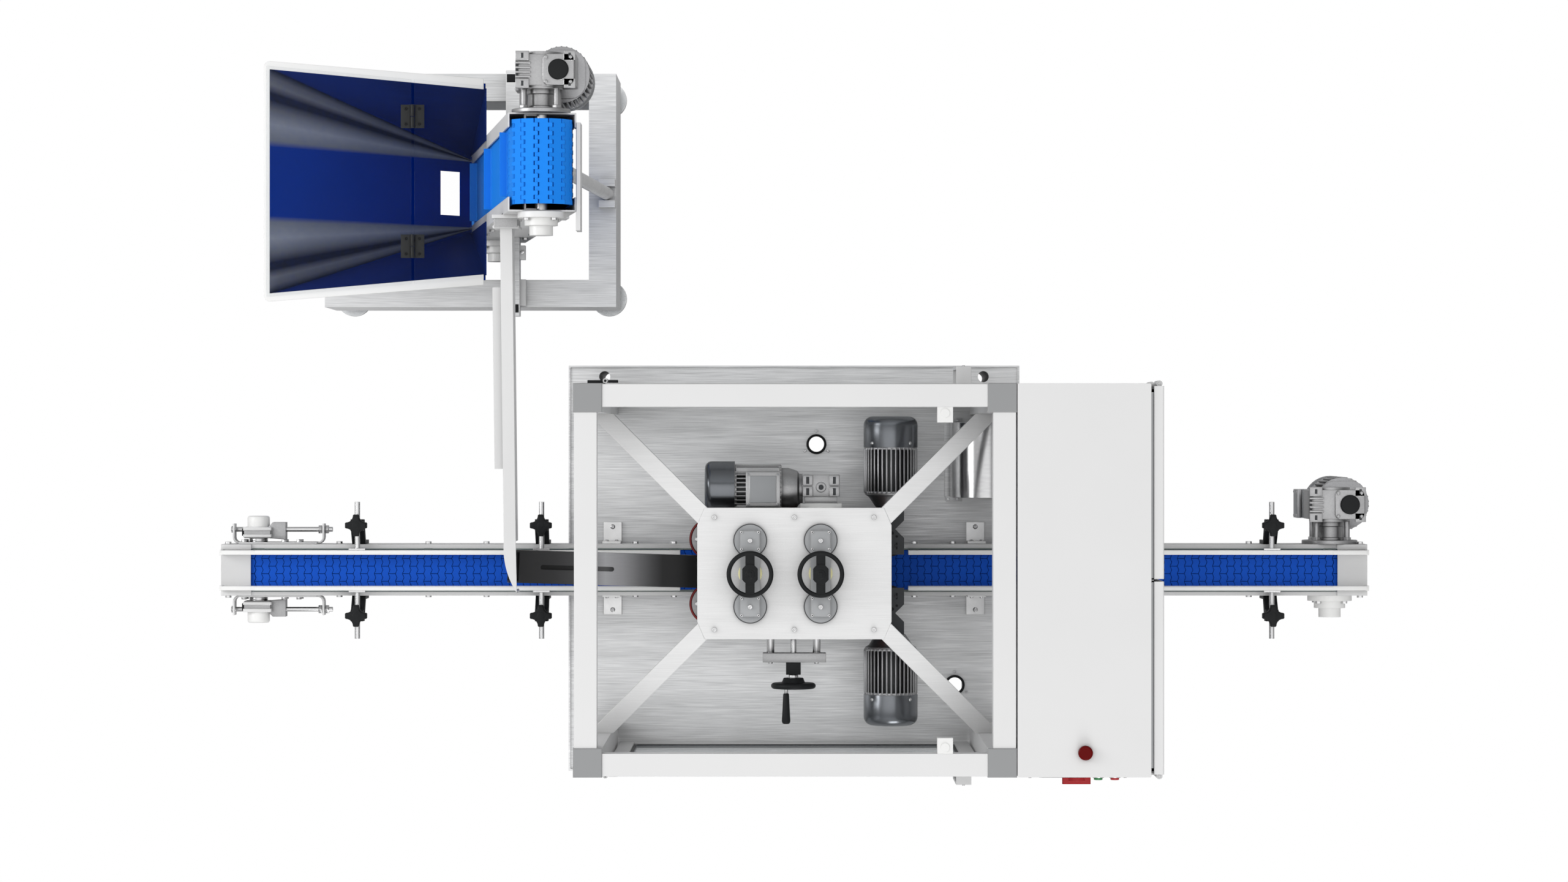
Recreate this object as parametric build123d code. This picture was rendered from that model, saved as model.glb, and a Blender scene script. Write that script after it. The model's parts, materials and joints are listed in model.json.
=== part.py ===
from build123d import *
import math
import os

os.makedirs("parts", exist_ok=True)

# All lengths are millimetres and all angles degrees. +X runs along the conveyor towards its drive,
# +Y points to the cap elevator and +Z is up from the floor. The capping head stands over x = 0, y = 0
# while the pieces are drawn, and the whole assembly is centred on its footprint at the end.

# Conveyor
belt_top = 900.0
belt_width = 82.6
belt_thickness = 5.0
belt_radius = 45.0
conveyor_half_length = 1184.5
conveyor_half_width = 53.0
conveyor_bottom = 800.0
side_wall = 3.0
side_lip = 8.0
side_lip_height = 3.0
shaft_inset = 71.5
shaft_radius = 12.5
shaft_hole_clearance = 2.5
running_gap = 0.3
sprocket_width = 20.0
sprocket_offset = 24.0
tie_radius = 9.0
tie_positions = (-760.0, -250.0, 250.0, 760.0)
wear_rail_width = 8.0
wear_rail_offset = 30.0
cover_length = 61.5
cover_sheet = 3.0
cover_drop = 60.0

# Guide rails beside the product
rail_gap = 64.6
rail_thickness = 9.0
rail_bottom = 905.0
rail_height = 34.0
rail_chamfer = 2.0
rail_inner_end = 235.0
rail_end_inset = 74.5
guide_left_inset = 283.5
guide_right_inset = 199.5
guide_middle = 521.0
guide_rod_radius = 5.5
guide_rod_end = 141.0
guide_block = 24.0
guide_block_width = 26.0
guide_block_centre = 93.0
guide_arm_sheet = 8.0
guide_arm_drop = 78.0
clamp_length = 34.0
clamp_sheet = 4.0
clamp_half_height = 10.0
knob_span = 45.0
knob_height = 14.0
knob_stem = 8.0
knob_lobe = 10.0
knob_core_radius = 14.0
knob_stem_radius = 6.0

# Shaft take-ups on the tail end
takeup_inset = 19.5
takeup_length = 190.0
takeup_sheet = 4.0
takeup_height = 56.0
takeup_ear = 38.0
takeup_ear_half = 16.0
takeup_screw_radius = 5.0
takeup_screw_offset = 30.0
takeup_screw_over = 16.0
takeup_block = 54.0
takeup_block_depth = 38.0
takeup_cap_radius = 23.0
takeup_cap_depth = 20.0

# Gearmotors that hang beside a shaft: conveyor drive and elevator head
mount_radius = 57.5
mount_sheet = 8.0
mount_hub_radius = 30.0
mount_length = 46.0
standoff_radius = 6.0
standoff_circle = 45.0
gearbox_left = 48.0
gearbox_right = 70.0
gearbox_depth = 72.0
gearbox_up = 50.0
gearbox_down = 58.0
gearbox_round = 12.0
gearbox_cap_radius = 20.0
gearbox_cap_height = 6.0
input_offset = 36.0
motor_radius = 50.0
motor_flange_radius = 60.0
motor_flange_sheet = 12.0
motor_body_length = 150.0
motor_cover_radius = 57.0
motor_cover_length = 58.0
terminal_box_out = 92.0
terminal_box_drop = 18.0
fin_count = 24
fin_sheet = 4.0
fin_height = 8.0
fin_seat = 2.0
cover_round = 10.0
terminal_box_width = 60.0
terminal_box_height = 66.0

# Shaft bearings
bearing_flange_radius = 46.0
bearing_flange_sheet = 12.0
bearing_hub_radius = 32.5
bearing_hub_length = 15.0
bearing_cap_radius = 23.0
bearing_cap_length = 19.0

# Base of the capping machine
deck_top = 779.0
deck_sheet = 4.0
deck_half_x = 472.5
deck_half_y = 424.5
deck_skirt = 60.0
deck_lip = 3.0
jack_hole_radius = 11.5
jack_hole_x = 397.0
jack_hole_y = 401.5
jack_sleeve_wall = 3.0
jack_sleeve_length = 300.0
grommet_hole_radius = 16.5
grommet_places = ((47.0, 260.0), (337.0, -245.0))
leg_size = 60.0
leg_bottom = 110.0
stretcher_size = 40.0
stretcher_height = 180.0
foot_radius = 40.0
foot_sheet = 18.0
foot_stem_radius = 10.0

# Guard enclosure
enclosure_half_x = 425.0
enclosure_half_y = 377.5
enclosure_top = 1541.0
post_size = 56.0
post_cap_sheet = 6.0
post_cap_chamfer = 1.5
top_rail_width = 43.5
top_rail_setback = 2.0
top_rail_drop = 2.0

# Head plate and its brace arms
plate_top = 1131.0
plate_sheet = 12.0
plate_half_x = 195.5
plate_half_y = 132.3
plate_chamfer_x = 15.0
plate_chamfer_y = 35.0
arm_width = 35.5
arm_depth = 31.0

# Height units on the head plate
height_unit_places = (-89.0, 52.7)
bridge_flange_radius = 33.0
bridge_flange_sheet = 10.0
bridge_half_span = 66.5
bridge_bar_width = 40.0
bridge_bar_sheet = 12.0
column_radius = 15.0
wheel_radius = 47.0
wheel_rim_radius = 4.5
wheel_rise = 52.0
wheel_hub_width = 31.0
wheel_hub_length = 40.0
wheel_hub_corner = 9.0
wheel_collar_radius = 13.0
wheel_collar_gap = 2.0
wheel_stem_radius = 8.0
wheel_spoke_width = 16.0
wheel_disc_radius = 23.0
running_clearance = 0.05

# Capping carriage and discs
carriage_left = -185.0
carriage_right = 150.0
carriage_half_y = 90.0
carriage_top = 1075.0
carriage_bottom = 1045.0
disc_first = -172.0
disc_pitch = 102.7
disc_count = 4
disc_offset = 66.0
disc_radius = 42.5
disc_top = 1000.0
disc_sheet = 12.0
disc_core = 38.0
disc_recess = 2.0
spindle_radius = 10.0

# Spindle gearmotor behind the carriage
spindle_drive_x = 54.0
spindle_drive_half = 38.0
spindle_drive_near = 140.0
spindle_drive_far = 198.0
spindle_drive_z = 1035.0
spindle_drive_height = 78.0
spindle_motor_radius = 50.0
spindle_motor_left = -182.0
spindle_cover_length = 60.0
spindle_cover_radius = 56.5
spindle_cover_round = 14.0
spindle_bell_length = 42.0
spindle_bell_radius = 43.0
spindle_box_left = -98.0
spindle_box_right = -29.0
spindle_box_half = 35.0
spindle_box_rise = 18.0
spindle_bracket_inset = 12.0

# Width adjuster in front of the carriage
adjuster_rod_places = (-48.5, 45.0)
adjuster_screw_x = -2.0
adjuster_rod_radius = 8.0
adjuster_screw_radius = 6.0
adjuster_block_near = 163.0
adjuster_block_far = 182.0
adjuster_block_half = 64.0
adjuster_block_height = 34.0
adjuster_nut_half = 15.0
adjuster_nut_end = 207.0
adjuster_wheel_near = 214.0
adjuster_wheel_far = 238.0
adjuster_wheel_radius = 45.5
adjuster_crank_end = 306.0
adjuster_crank_offset = 28.0
adjuster_crank_angle = 32.0
adjuster_crank_radius = 9.0
adjuster_crank_round = 4.0
adjuster_wheel_round = 6.0
adjuster_screw_gap = 6.0

# Side belt units beside the product
side_left = -150.0
side_right = 225.0
side_near = 34.0
side_far = 130.0
side_cover_top = 981.0
side_cover_sheet = 6.0
side_body_near = 84.0
side_body_bottom = 935.0
side_belt_near = 30.0
side_belt_height = 30.0
side_belt_radius = 24.0
side_notch = 18.0
side_notch_y = 86.0
side_post_radius = 12.0
side_post_places = (-110.0, 150.0)
side_post_y = 107.0
side_motor_x = 198.0
side_motor_radius = 54.0
side_motor_cover_radius = 61.0
side_motor_near_radius = 30.0
side_motor_neck = 158.0
side_motor_fins_end = 254.0
side_motor_end = 317.0
side_motor_round = 18.0

# Doors of the guard enclosure
door_gap = 5.0
door_sheet = 14.5
door_bar = 30.0
pane_sheet = 5.0
door_pin_x = -368.0
door_pin_y = 383.5
door_knuckle_radius = 5.0
door_pin_radius = 2.5
door_knuckle_length = 24.0
door_leaf_width = 38.0
door_leaf_sheet = 2.0
door_hinge_low = 880.0
door_hinge_drop = 141.0
handle_x = 335.0
handle_width = 30.0
handle_reach = 37.0
handle_height = 1180.0
handle_length = 160.0
handle_sheet = 6.0
interlock_size = 30.0
interlock_x = 287.5
interlock_height = 24.0

# Control cabinet over the conveyor
cabinet_near = 426.0
cabinet_far = 682.0
cabinet_half_y = 377.0
cabinet_height = 291.0
cabinet_door_near = 687.7
cabinet_door_sheet = 19.0
cabinet_door_clearance = 5.0
cabinet_door_gap = 5.0
cabinet_round = 3.0
cabinet_pad_inset = 8.0
cabinet_pad_drop = 20.0
cabinet_arm_sheet = 4.0
cabinet_hinge_room = 3.0
cabinet_door_inset = 4.0
cabinet_pin_x = 700.0
cabinet_pin_radius = 3.0
cabinet_knuckle_radius = 6.0
cabinet_knuckle_length = 30.0
cabinet_hinge_drops = (231.0, 61.0)
cabinet_handle_y = 45.0
cabinet_handle_length = 90.0
cabinet_handle_width = 24.0
cabinet_handle_rise = 8.0
panel_left = 446.0
panel_right = 641.0
panel_low_drop = 251.0
panel_top_drop = 36.0
panel_sheet = 2.0
knob_x = 547.5
knob_drop = 131.0
knob_base_radius = 22.0
knob_base_sheet = 6.0
knob_length = 55.0
knob_width = 16.0
knob_sheet = 15.0
knob_round = 4.0
knob_collar_radius = 17.6
knob_collar_sheet = 9.0
beacon_x = 555.6
beacon_y = -330.0
beacon_radius = 14.0
beacon_height = 12.0
beacon_round = 4.0

# Cable duct on the deck beside the right posts
duct_left = 326.0
duct_right = 422.0
duct_front = 150.0
duct_back = 305.0
duct_top = 980.0
duct_round = 80.0

# Conveyor feet on the deck
foot_bracket_x = 380.0
foot_bracket_width = 38.0
foot_bracket_reach = 44.0
foot_bracket_sheet = 5.0
foot_bracket_height = 70.0

# Cap elevator
elevator_y = 809.0
elevator_tilt = 8.0
head_x = -494.5
head_z = 1389.0
elevator_span = 1190.0
elevator_belt_radius = 61.0
elevator_belt_width = 165.0
elevator_belt_thickness = 6.0
channel_wall = 3.0
channel_clearance = 2.5
channel_half_outer = 96.0
channel_depth = 28.0
channel_below = 70.0
channel_above = 24.0
elevator_shaft_radius = 12.5
elevator_base_left = -1031.0
elevator_base_right = -390.0
elevator_base_front = 561.0
elevator_base_back = 1074.0
base_rail = 60.0
base_rail_top = 357.0
base_rail_bottom = 110.0
elevator_foot_inset = 30.0
arm_channel_left = -630.0
arm_channel_width = 30.0
arm_channel_height = 40.0
arm_channel_front = 540.0
strut_radius = 14.0
strut_foot_x = -409.0
strut_head_z = 1130.0
clevis_half = 31.0
clevis_width = 36.0
clevis_height = 46.0
clevis_floor = 6.0
clevis_pin_radius = 6.0
clevis_pin_inset = 14.0
tie_bar_height = 40.0
tie_bar_sheet = 8.0
guard_left = -426.0
guard_sheet = 9.0
guard_front = 676.0
guard_back = 886.0
guard_bottom = 1345.0
guard_top = 1410.0
guard_rod_radius = 5.0
guard_rod_offset = 71.5

# Hopper and its lid
hopper_rim_z = 816.0
hopper_left = -1095.0
hopper_left_front = 575.0
hopper_left_back = 1043.0
hopper_right_front = 614.5
hopper_right_back = 1001.0
hopper_foot_z = 344.0
hopper_foot_half = 84.0
hopper_wall = 2.0
rim_width = 12.0
rim_sheet = 3.0
hopper_window_length = 62.0
hopper_window_width = 96.0
hopper_window_back = 34.0
lid_sheet = 4.0
lid_split = -796.0
lid_gap = 0.5
lid_hinge_rise = 6.0
lid_hinge_width = 49.0
lid_hinge_places = (673.0, 944.0)
lid_knuckle_radius = 3.5
lid_pin_radius = 1.5
lid_tongue = 4.0
lid_leaf_sheet = 2.0

# Cap outlet, chute and track
chute_x = -570.0
chute_width = 24.0
chute_wall = 2.0
chute_height = 70.0
chute_start_y = 688.0
chute_start_z = 1284.0
chute_end_y = 66.0
chute_end_z = 1173.0
outlet_width = 46.0
outlet_height = 96.0
mouth_tip_y = -38.0
mouth_tip_x = -556.0
mouth_height = 86.0
mouth_bulge_x = 6.0
mouth_bulge_y = 8.0
mouth_front_wall = 6.0
mouth_passage = 20.0
chute_support_left = -600.0
chute_support_back = 572.0
chute_support_front = 211.0
chute_support_height = 30.0
chute_support_wall = 2.0
track_left = -575.0
track_right = -176.0
track_left_y = 14.0
track_left_top = 1114.0
track_right_top = 1036.0
track_width = 66.0
track_height = 26.0
track_sheet = 4.0
track_slot_width = 9.0
track_slot_start = 64.0
track_entry = 20.0
track_slot_length = 150.0
hanger_width = 40.0
hanger_sheet = 8.0

# Places that follow from the sizes above
shaft_x = conveyor_half_length - shaft_inset
shaft_z = belt_top - belt_radius
rail_outer_end = conveyor_half_length - rail_end_inset
guide_positions = (
    guide_left_inset - conveyor_half_length,
    -guide_middle,
    guide_middle,
    conveyor_half_length - guide_right_inset,
)
rod_z = rail_bottom + rail_height / 2
post_centre_x = enclosure_half_x - post_size / 2
post_centre_y = enclosure_half_y - post_size / 2
plate_bottom = plate_top - plate_sheet
arm_bottom = plate_top - arm_depth
adjuster_z = (carriage_top + carriage_bottom) / 2
door_hinge_heights = (door_hinge_low, enclosure_top - door_hinge_drop)
cabinet_bottom = enclosure_top - cabinet_height
cabinet_door_half = cabinet_half_y - cabinet_door_clearance
cabinet_hinge_heights = [enclosure_top - drop for drop in cabinet_hinge_drops]
panel_bottom = enclosure_top - panel_low_drop
panel_top = enclosure_top - panel_top_drop
knob_z = enclosure_top - knob_drop
channel_half_depth = elevator_belt_radius + channel_clearance + channel_wall
tilt = math.radians(elevator_tilt)
tail_x = head_x - elevator_span * math.sin(tilt)
tail_z = head_z - elevator_span * math.cos(tilt)
leaning = Location((tail_x, elevator_y, tail_z), (0, elevator_tilt, 0))


def block(x, y, z):
    # A box from its lowest and highest coordinate along each axis.
    size = (x[1] - x[0], y[1] - y[0], z[1] - z[0])
    centre = ((x[0] + x[1]) / 2, (y[0] + y[1]) / 2, (z[0] + z[1]) / 2)
    return Pos(*centre) * Box(*size)


def rod(start, end, radius):
    # A round bar from one point to another.
    axis = Vector(*end) - Vector(*start)
    return Plane(origin=start, z_dir=axis) * Cylinder(
        radius, axis.length, align=(Align.CENTER, Align.CENTER, Align.MIN)
    )


def upright(x, y, z, radius):
    # A vertical round bar between two heights.
    return rod((x, y, z[0]), (x, y, z[1]), radius)


def crossbar(x, y, z, radius):
    # A level round bar across the conveyor, between two values of y.
    return rod((x, y[0], z), (x, y[1], z), radius)


def finned(start, end, core, outer):
    # A motor's body: a round core with straight fins all round it, from one point to another.
    axis = Vector(*end) - Vector(*start)
    section = Circle(core)
    section += PolarLocations((core + outer) / 2, fin_count) * Rectangle(outer - core + fin_seat, fin_sheet)
    return Plane(origin=start, z_dir=axis) * extrude(section, axis.length)


def plan(points, low, high):
    # A straight prism over an outline in plan.
    return Pos(0, 0, low) * extrude(make_face(Polyline(*points, close=True)), high - low)


def side_profile(points, low, high):
    # A prism along X over an outline of (y, z) points.
    face = make_face(Polyline(*[(low, y, z) for y, z in points], close=True))
    return extrude(face, high - low, dir=(1, 0, 0))


def plate_between(points, thickness, direction):
    # A flat plate on an outline of points in space.
    face = make_face(Polyline(*points, close=True))
    return extrude(face, thickness, dir=direction)


def loop(radius, thickness, span, width):
    # A closed belt round two shafts, along X, with its lower run towards -Z.
    outline = Plane.XZ * SlotCenterToCenter(span, 2 * radius)
    inside = Plane.XZ * SlotCenterToCenter(span, 2 * (radius - thickness))
    return extrude(outline - inside, width / 2, both=True)


def left_at(z, local_x):
    # World x of the leaning plane at a local x, at a world height.
    foot_x = tail_x + local_x * math.cos(tilt)
    foot_z = tail_z - local_x * math.sin(tilt)
    return foot_x + (z - foot_z) * math.tan(tilt)


def both_sides(shape):
    # The piece and its mirror image across the conveyor's centre line.
    return [shape, mirror(shape, Plane.XZ)]


def base_tray():
    height = (deck_top - deck_skirt, deck_top + deck_lip)
    top = block((-deck_half_x, deck_half_x), (-deck_half_y, deck_half_y), height)
    inner_x = deck_half_x - deck_sheet
    inner_y = deck_half_y - deck_sheet
    tray = top - block((-inner_x, inner_x), (-inner_y, inner_y), (deck_top, deck_top + 2 * deck_lip))
    below = (deck_top - 2 * deck_skirt, deck_top - deck_sheet)
    tray -= block((-inner_x, inner_x), (-inner_y, inner_y), below)
    for x, y in grommet_places:
        tray -= Pos(x, y, deck_top) * Cylinder(grommet_hole_radius, 4 * deck_sheet)
    sleeve_radius = jack_hole_radius + jack_sleeve_wall
    sleeve_z = (deck_top - jack_sleeve_length, deck_top - deck_sheet / 2)
    bore_z = (deck_top - 2 * jack_sleeve_length, deck_top + deck_sheet)
    for x in (-jack_hole_x, jack_hole_x):
        for y in (-jack_hole_y, jack_hole_y):
            tray += upright(x, y, sleeve_z, sleeve_radius)
            tray -= upright(x, y, bore_z, jack_hole_radius)
    return tray


def base_frame():
    # Four square legs and the stretchers between them near the floor.
    half = leg_size / 2
    leg_z = (leg_bottom, deck_top - deck_sheet)
    bars = []
    for x in (-post_centre_x, post_centre_x):
        for y in (-post_centre_y, post_centre_y):
            bars.append(block((x - half, x + half), (y - half, y + half), leg_z))
    half = stretcher_size / 2
    z = (stretcher_height, stretcher_height + stretcher_size)
    reach_x = post_centre_x - leg_size / 2
    reach_y = post_centre_y - leg_size / 2
    for y in (-post_centre_y, post_centre_y):
        bars.append(block((-reach_x, reach_x), (y - half, y + half), z))
    for x in (-post_centre_x, post_centre_x):
        bars.append(block((x - half, x + half), (-reach_y, reach_y), z))
    return bars


def levelling_foot(x, y, top):
    foot = rod((x, y, 0), (x, y, foot_sheet), foot_radius)
    return foot + rod((x, y, foot_sheet), (x, y, top), foot_stem_radius)


def levelling_feet():
    feet = []
    for x in (-post_centre_x, post_centre_x):
        for y in (-post_centre_y, post_centre_y):
            feet.append(levelling_foot(x, y, leg_bottom))
    for x in (elevator_base_left + elevator_foot_inset, elevator_base_right - elevator_foot_inset):
        for y in (elevator_base_front + elevator_foot_inset, elevator_base_back - elevator_foot_inset):
            feet.append(levelling_foot(x, y, base_rail_bottom))
    return feet


def frame_posts():
    half = post_size / 2
    top = enclosure_top - post_cap_sheet
    posts = []
    for x in (-post_centre_x, post_centre_x):
        for y in (-post_centre_y, post_centre_y):
            posts.append(block((x - half, x + half), (y - half, y + half), (deck_top, top)))
    return posts


def post_caps():
    caps = []
    for x in (-post_centre_x, post_centre_x):
        for y in (-post_centre_y, post_centre_y):
            half = post_size / 2
            top = (enclosure_top - post_cap_sheet, enclosure_top)
            cap = block((x - half, x + half), (y - half, y + half), top)
            caps.append(chamfer(cap.edges().group_by(Axis.Z)[-1], post_cap_chamfer))
    return caps


def top_rails():
    top = enclosure_top - top_rail_drop
    z = (top - top_rail_width, top)
    outer_y = enclosure_half_y - top_rail_setback
    outer_x = enclosure_half_x - top_rail_setback
    reach_x = enclosure_half_x - post_size
    reach_y = enclosure_half_y - post_size
    front = block((-reach_x, reach_x), (-outer_y, top_rail_width - outer_y), z)
    right = block((outer_x - top_rail_width, outer_x), (-reach_y, reach_y), z)
    return [front, mirror(front, Plane.XZ), right, mirror(right, Plane.YZ)]


def head_plate_outline():
    cx = plate_half_x - plate_chamfer_x
    cy = plate_half_y - plate_chamfer_y
    return [
        (-cx, -plate_half_y),
        (cx, -plate_half_y),
        (plate_half_x, -cy),
        (plate_half_x, cy),
        (cx, plate_half_y),
        (-cx, plate_half_y),
        (-plate_half_x, cy),
        (-plate_half_x, -cy),
    ]


def brace_arms():
    # Each arm runs at 45 degrees from a corner of the plate to the inner face of a post.
    face_y = enclosure_half_y - post_size
    start = Vector(plate_half_x - 2 * plate_chamfer_x, plate_half_y - plate_chamfer_y, 0)
    reach = face_y - start.Y
    end = start + Vector(reach, reach, 0)
    across = Vector(-1, 1, 0).normalized() * (arm_width / 2)
    along = Vector(1, 1, 0).normalized() * arm_width
    corners = [start + across, start - across, end - across + along, end + across + along]
    arm = plan([(c.X, c.Y) for c in corners], arm_bottom, plate_top)
    arm -= block((0, 2 * enclosure_half_x), (face_y, 2 * face_y), (0, enclosure_top))
    arm -= plan(head_plate_outline(), 0, enclosure_top)
    arms = [arm, mirror(arm, Plane.XZ)]
    return arms + [mirror(a, Plane.YZ) for a in arms]


def head_plate():
    return plan(head_plate_outline(), plate_bottom, plate_top)


def height_bridges():
    bridges = []
    for x in height_unit_places:
        bar_bottom = plate_top + bridge_flange_sheet
        bar_top = bar_bottom + bridge_bar_sheet
        half = bridge_bar_width / 2
        reach = bridge_half_span + half
        bridge = block((x - half, x + half), (-reach, reach), (bar_bottom, bar_top))
        for y in (-bridge_half_span, bridge_half_span):
            bridge += rod((x, y, plate_top), (x, y, bar_bottom), bridge_flange_radius)
        bore = wheel_stem_radius + running_clearance
        bridge -= rod((x, 0, plate_top), (x, 0, bar_top + 1), bore)
        bridges.append(bridge)
    return bridges


def handwheel(x):
    # Rim, bar spoke, hub and the stem that turns in the bridge.
    rim_z = plate_top + wheel_rise
    bar_top = plate_top + bridge_flange_sheet + bridge_bar_sheet
    rim = Pos(x, 0, rim_z) * Torus(wheel_radius - wheel_rim_radius, wheel_rim_radius)
    reach = wheel_radius - wheel_rim_radius
    half = wheel_spoke_width / 2
    low = rim_z - wheel_rim_radius
    high = rim_z + wheel_rim_radius
    spoke = block((x - half, x + half), (-reach, reach), (low, high))
    hub_x = (x - wheel_hub_width / 2, x + wheel_hub_width / 2)
    hub = block(hub_x, (-wheel_hub_length / 2, wheel_hub_length / 2), (low, high + wheel_rim_radius))
    hub = chamfer(hub.edges().filter_by(Axis.Z), wheel_hub_corner)
    start = bar_top + wheel_collar_gap
    collar = upright(x, 0, (start, low), wheel_collar_radius)
    disc = upright(x, 0, (low - wheel_rim_radius, low), wheel_disc_radius)
    stem = upright(x, 0, (plate_top + running_gap, start), wheel_stem_radius)
    return rim + spoke + hub + collar + disc + stem


def head_carriage():
    z = (carriage_bottom, carriage_top)
    carriage = block((carriage_left, carriage_right), (-carriage_half_y, carriage_half_y), z)
    for x in height_unit_places:
        for y in (-bridge_half_span, bridge_half_span):
            carriage += rod((x, y, carriage_top - 1), (x, y, plate_bottom), column_radius)
    # The bore that each turning spindle of the first pair runs in.
    for y in (-disc_offset, disc_offset):
        bore = spindle_radius + running_clearance
        carriage -= upright(disc_first, y, (carriage_bottom - 1, adjuster_z), bore)
    carriage += cap_track_hanger()
    return carriage


def capping_disc(x, y, top):
    disc = rod((x, y, disc_top - disc_sheet), (x, y, disc_top), disc_radius)
    disc -= upright(x, y, (disc_top - disc_recess, disc_top + 1), disc_core)
    return disc + rod((x, y, disc_top - disc_sheet), (x, y, top), spindle_radius)


def fixed_discs():
    discs = []
    for number in range(1, disc_count):
        for y in (-disc_offset, disc_offset):
            discs.append(capping_disc(disc_first + number * disc_pitch, y, carriage_bottom))
    return discs


def spindle_gearmotor():
    # A gearbox on a bracket behind the carriage, with its motor lying along the conveyor.
    axis_z = spindle_drive_z
    z = (axis_z - spindle_drive_height / 2, axis_z + spindle_drive_height / 2)
    left = spindle_drive_x - spindle_drive_half
    right = spindle_drive_x + spindle_drive_half
    box = block((left, right), (spindle_drive_near, spindle_drive_far), z)
    box = fillet(box.edges().filter_by(Axis.Y), gearbox_round / 2)
    bracket_x = (left + spindle_bracket_inset, right - spindle_bracket_inset)
    bracket = block(bracket_x, (carriage_half_y, spindle_drive_near + 1), (carriage_bottom, carriage_top))
    y = (spindle_drive_near + spindle_drive_far) / 2
    start = spindle_motor_left
    bell_start = left - spindle_bell_length
    core = spindle_motor_radius - fin_height
    fins_start = (start + spindle_cover_length - 1, y, axis_z)
    body = finned(fins_start, (bell_start, y, axis_z), core, spindle_motor_radius)
    bell = rod((bell_start - 1, y, axis_z), (left + 1, y, axis_z), spindle_bell_radius)
    cover = rod((start, y, axis_z), (start + spindle_cover_length, y, axis_z), spindle_cover_radius)
    cover = fillet(cover.edges().group_by(Axis.X)[0], spindle_cover_round)
    terminal = block(
        (spindle_box_left, spindle_box_right),
        (y - spindle_box_half, y + spindle_box_half),
        (axis_z + spindle_box_half, axis_z + spindle_cover_radius + spindle_box_rise),
    )
    return box + bracket + body + bell + cover + terminal


def width_adjuster():
    half = adjuster_block_half
    z = (adjuster_z - adjuster_block_height / 2, adjuster_z + adjuster_block_height / 2)
    cross = block((-half, half), (-adjuster_block_far, -adjuster_block_near), z)
    nut = adjuster_nut_half
    x = (adjuster_screw_x - nut, adjuster_screw_x + nut)
    cross += block(x, (-adjuster_nut_end, -adjuster_block_far + 1), (adjuster_z - nut, adjuster_z + nut))
    for x in adjuster_rod_places:
        cross += crossbar(x, (-adjuster_block_near - 1, -carriage_half_y), adjuster_z, adjuster_rod_radius)
    bore = adjuster_screw_radius + running_clearance
    bore_y = (-adjuster_nut_end - 1, -adjuster_block_near + 1)
    return cross - crossbar(adjuster_screw_x, bore_y, adjuster_z, bore)


def adjuster_wheel():
    x = adjuster_screw_x
    wheel = crossbar(x, (-adjuster_wheel_far, -adjuster_wheel_near), adjuster_z, adjuster_wheel_radius)
    wheel = fillet(wheel.edges(), adjuster_wheel_round)
    screw_y = (-adjuster_wheel_near - 1, -carriage_half_y - adjuster_screw_gap)
    wheel += crossbar(x, screw_y, adjuster_z, adjuster_screw_radius)
    angle = math.radians(adjuster_crank_angle)
    handle_x = x - adjuster_crank_offset * math.sin(angle)
    handle_z = adjuster_z + adjuster_crank_offset * math.cos(angle)
    handle_y = (-adjuster_crank_end, -adjuster_wheel_far + 1)
    handle = crossbar(handle_x, handle_y, handle_z, adjuster_crank_radius)
    return wheel + fillet(handle.edges().group_by(Axis.Y)[0], adjuster_crank_round)


def side_units():
    cover = [
        (side_left, side_near),
        (side_right, side_near),
        (side_right, side_notch_y - side_notch),
        (side_right - side_notch, side_notch_y),
        (side_right, side_notch_y + side_notch),
        (side_right, side_far),
        (side_left, side_far),
    ]
    unit = plan(cover, side_cover_top - side_cover_sheet, side_cover_top)
    x = (side_left, side_right - side_notch - 2)
    unit += block(x, (side_body_near, side_far), (side_body_bottom, side_cover_top - 1))
    for post in side_post_places:
        unit += upright(post, side_post_y, (deck_top, side_body_bottom + 1), side_post_radius)
    return both_sides(unit)


def side_belts():
    # A gripping belt round its two pulleys, just under the cover of each unit.
    span = side_motor_x - side_left - side_belt_radius
    centre_x = (side_motor_x + side_left + side_belt_radius) / 2
    outline = SlotCenterToCenter(span, 2 * side_belt_radius)
    solid = extrude(outline, side_belt_height)
    y = side_belt_near + side_belt_radius
    z = side_cover_top - side_cover_sheet - side_belt_height
    return both_sides(Pos(centre_x, y, z) * solid)


def side_motors():
    z = (side_cover_top + side_body_bottom) / 2 - 1
    x = side_motor_x
    length = side_motor_neck - side_far
    neck = Plane(origin=(x, side_far, z), z_dir=(0, 1, 0)) * Cone(
        side_motor_near_radius, side_motor_radius, length, align=(Align.CENTER, Align.CENTER, Align.MIN)
    )
    core = side_motor_radius - fin_height
    body = finned((x, side_motor_neck - 1, z), (x, side_motor_fins_end + 1, z), core, side_motor_radius)
    cover = crossbar(x, (side_motor_fins_end, side_motor_end), z, side_motor_cover_radius)
    cover = fillet(cover.edges().group_by(Axis.Y)[-1], side_motor_round)
    return both_sides(neck + body + cover)


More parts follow.
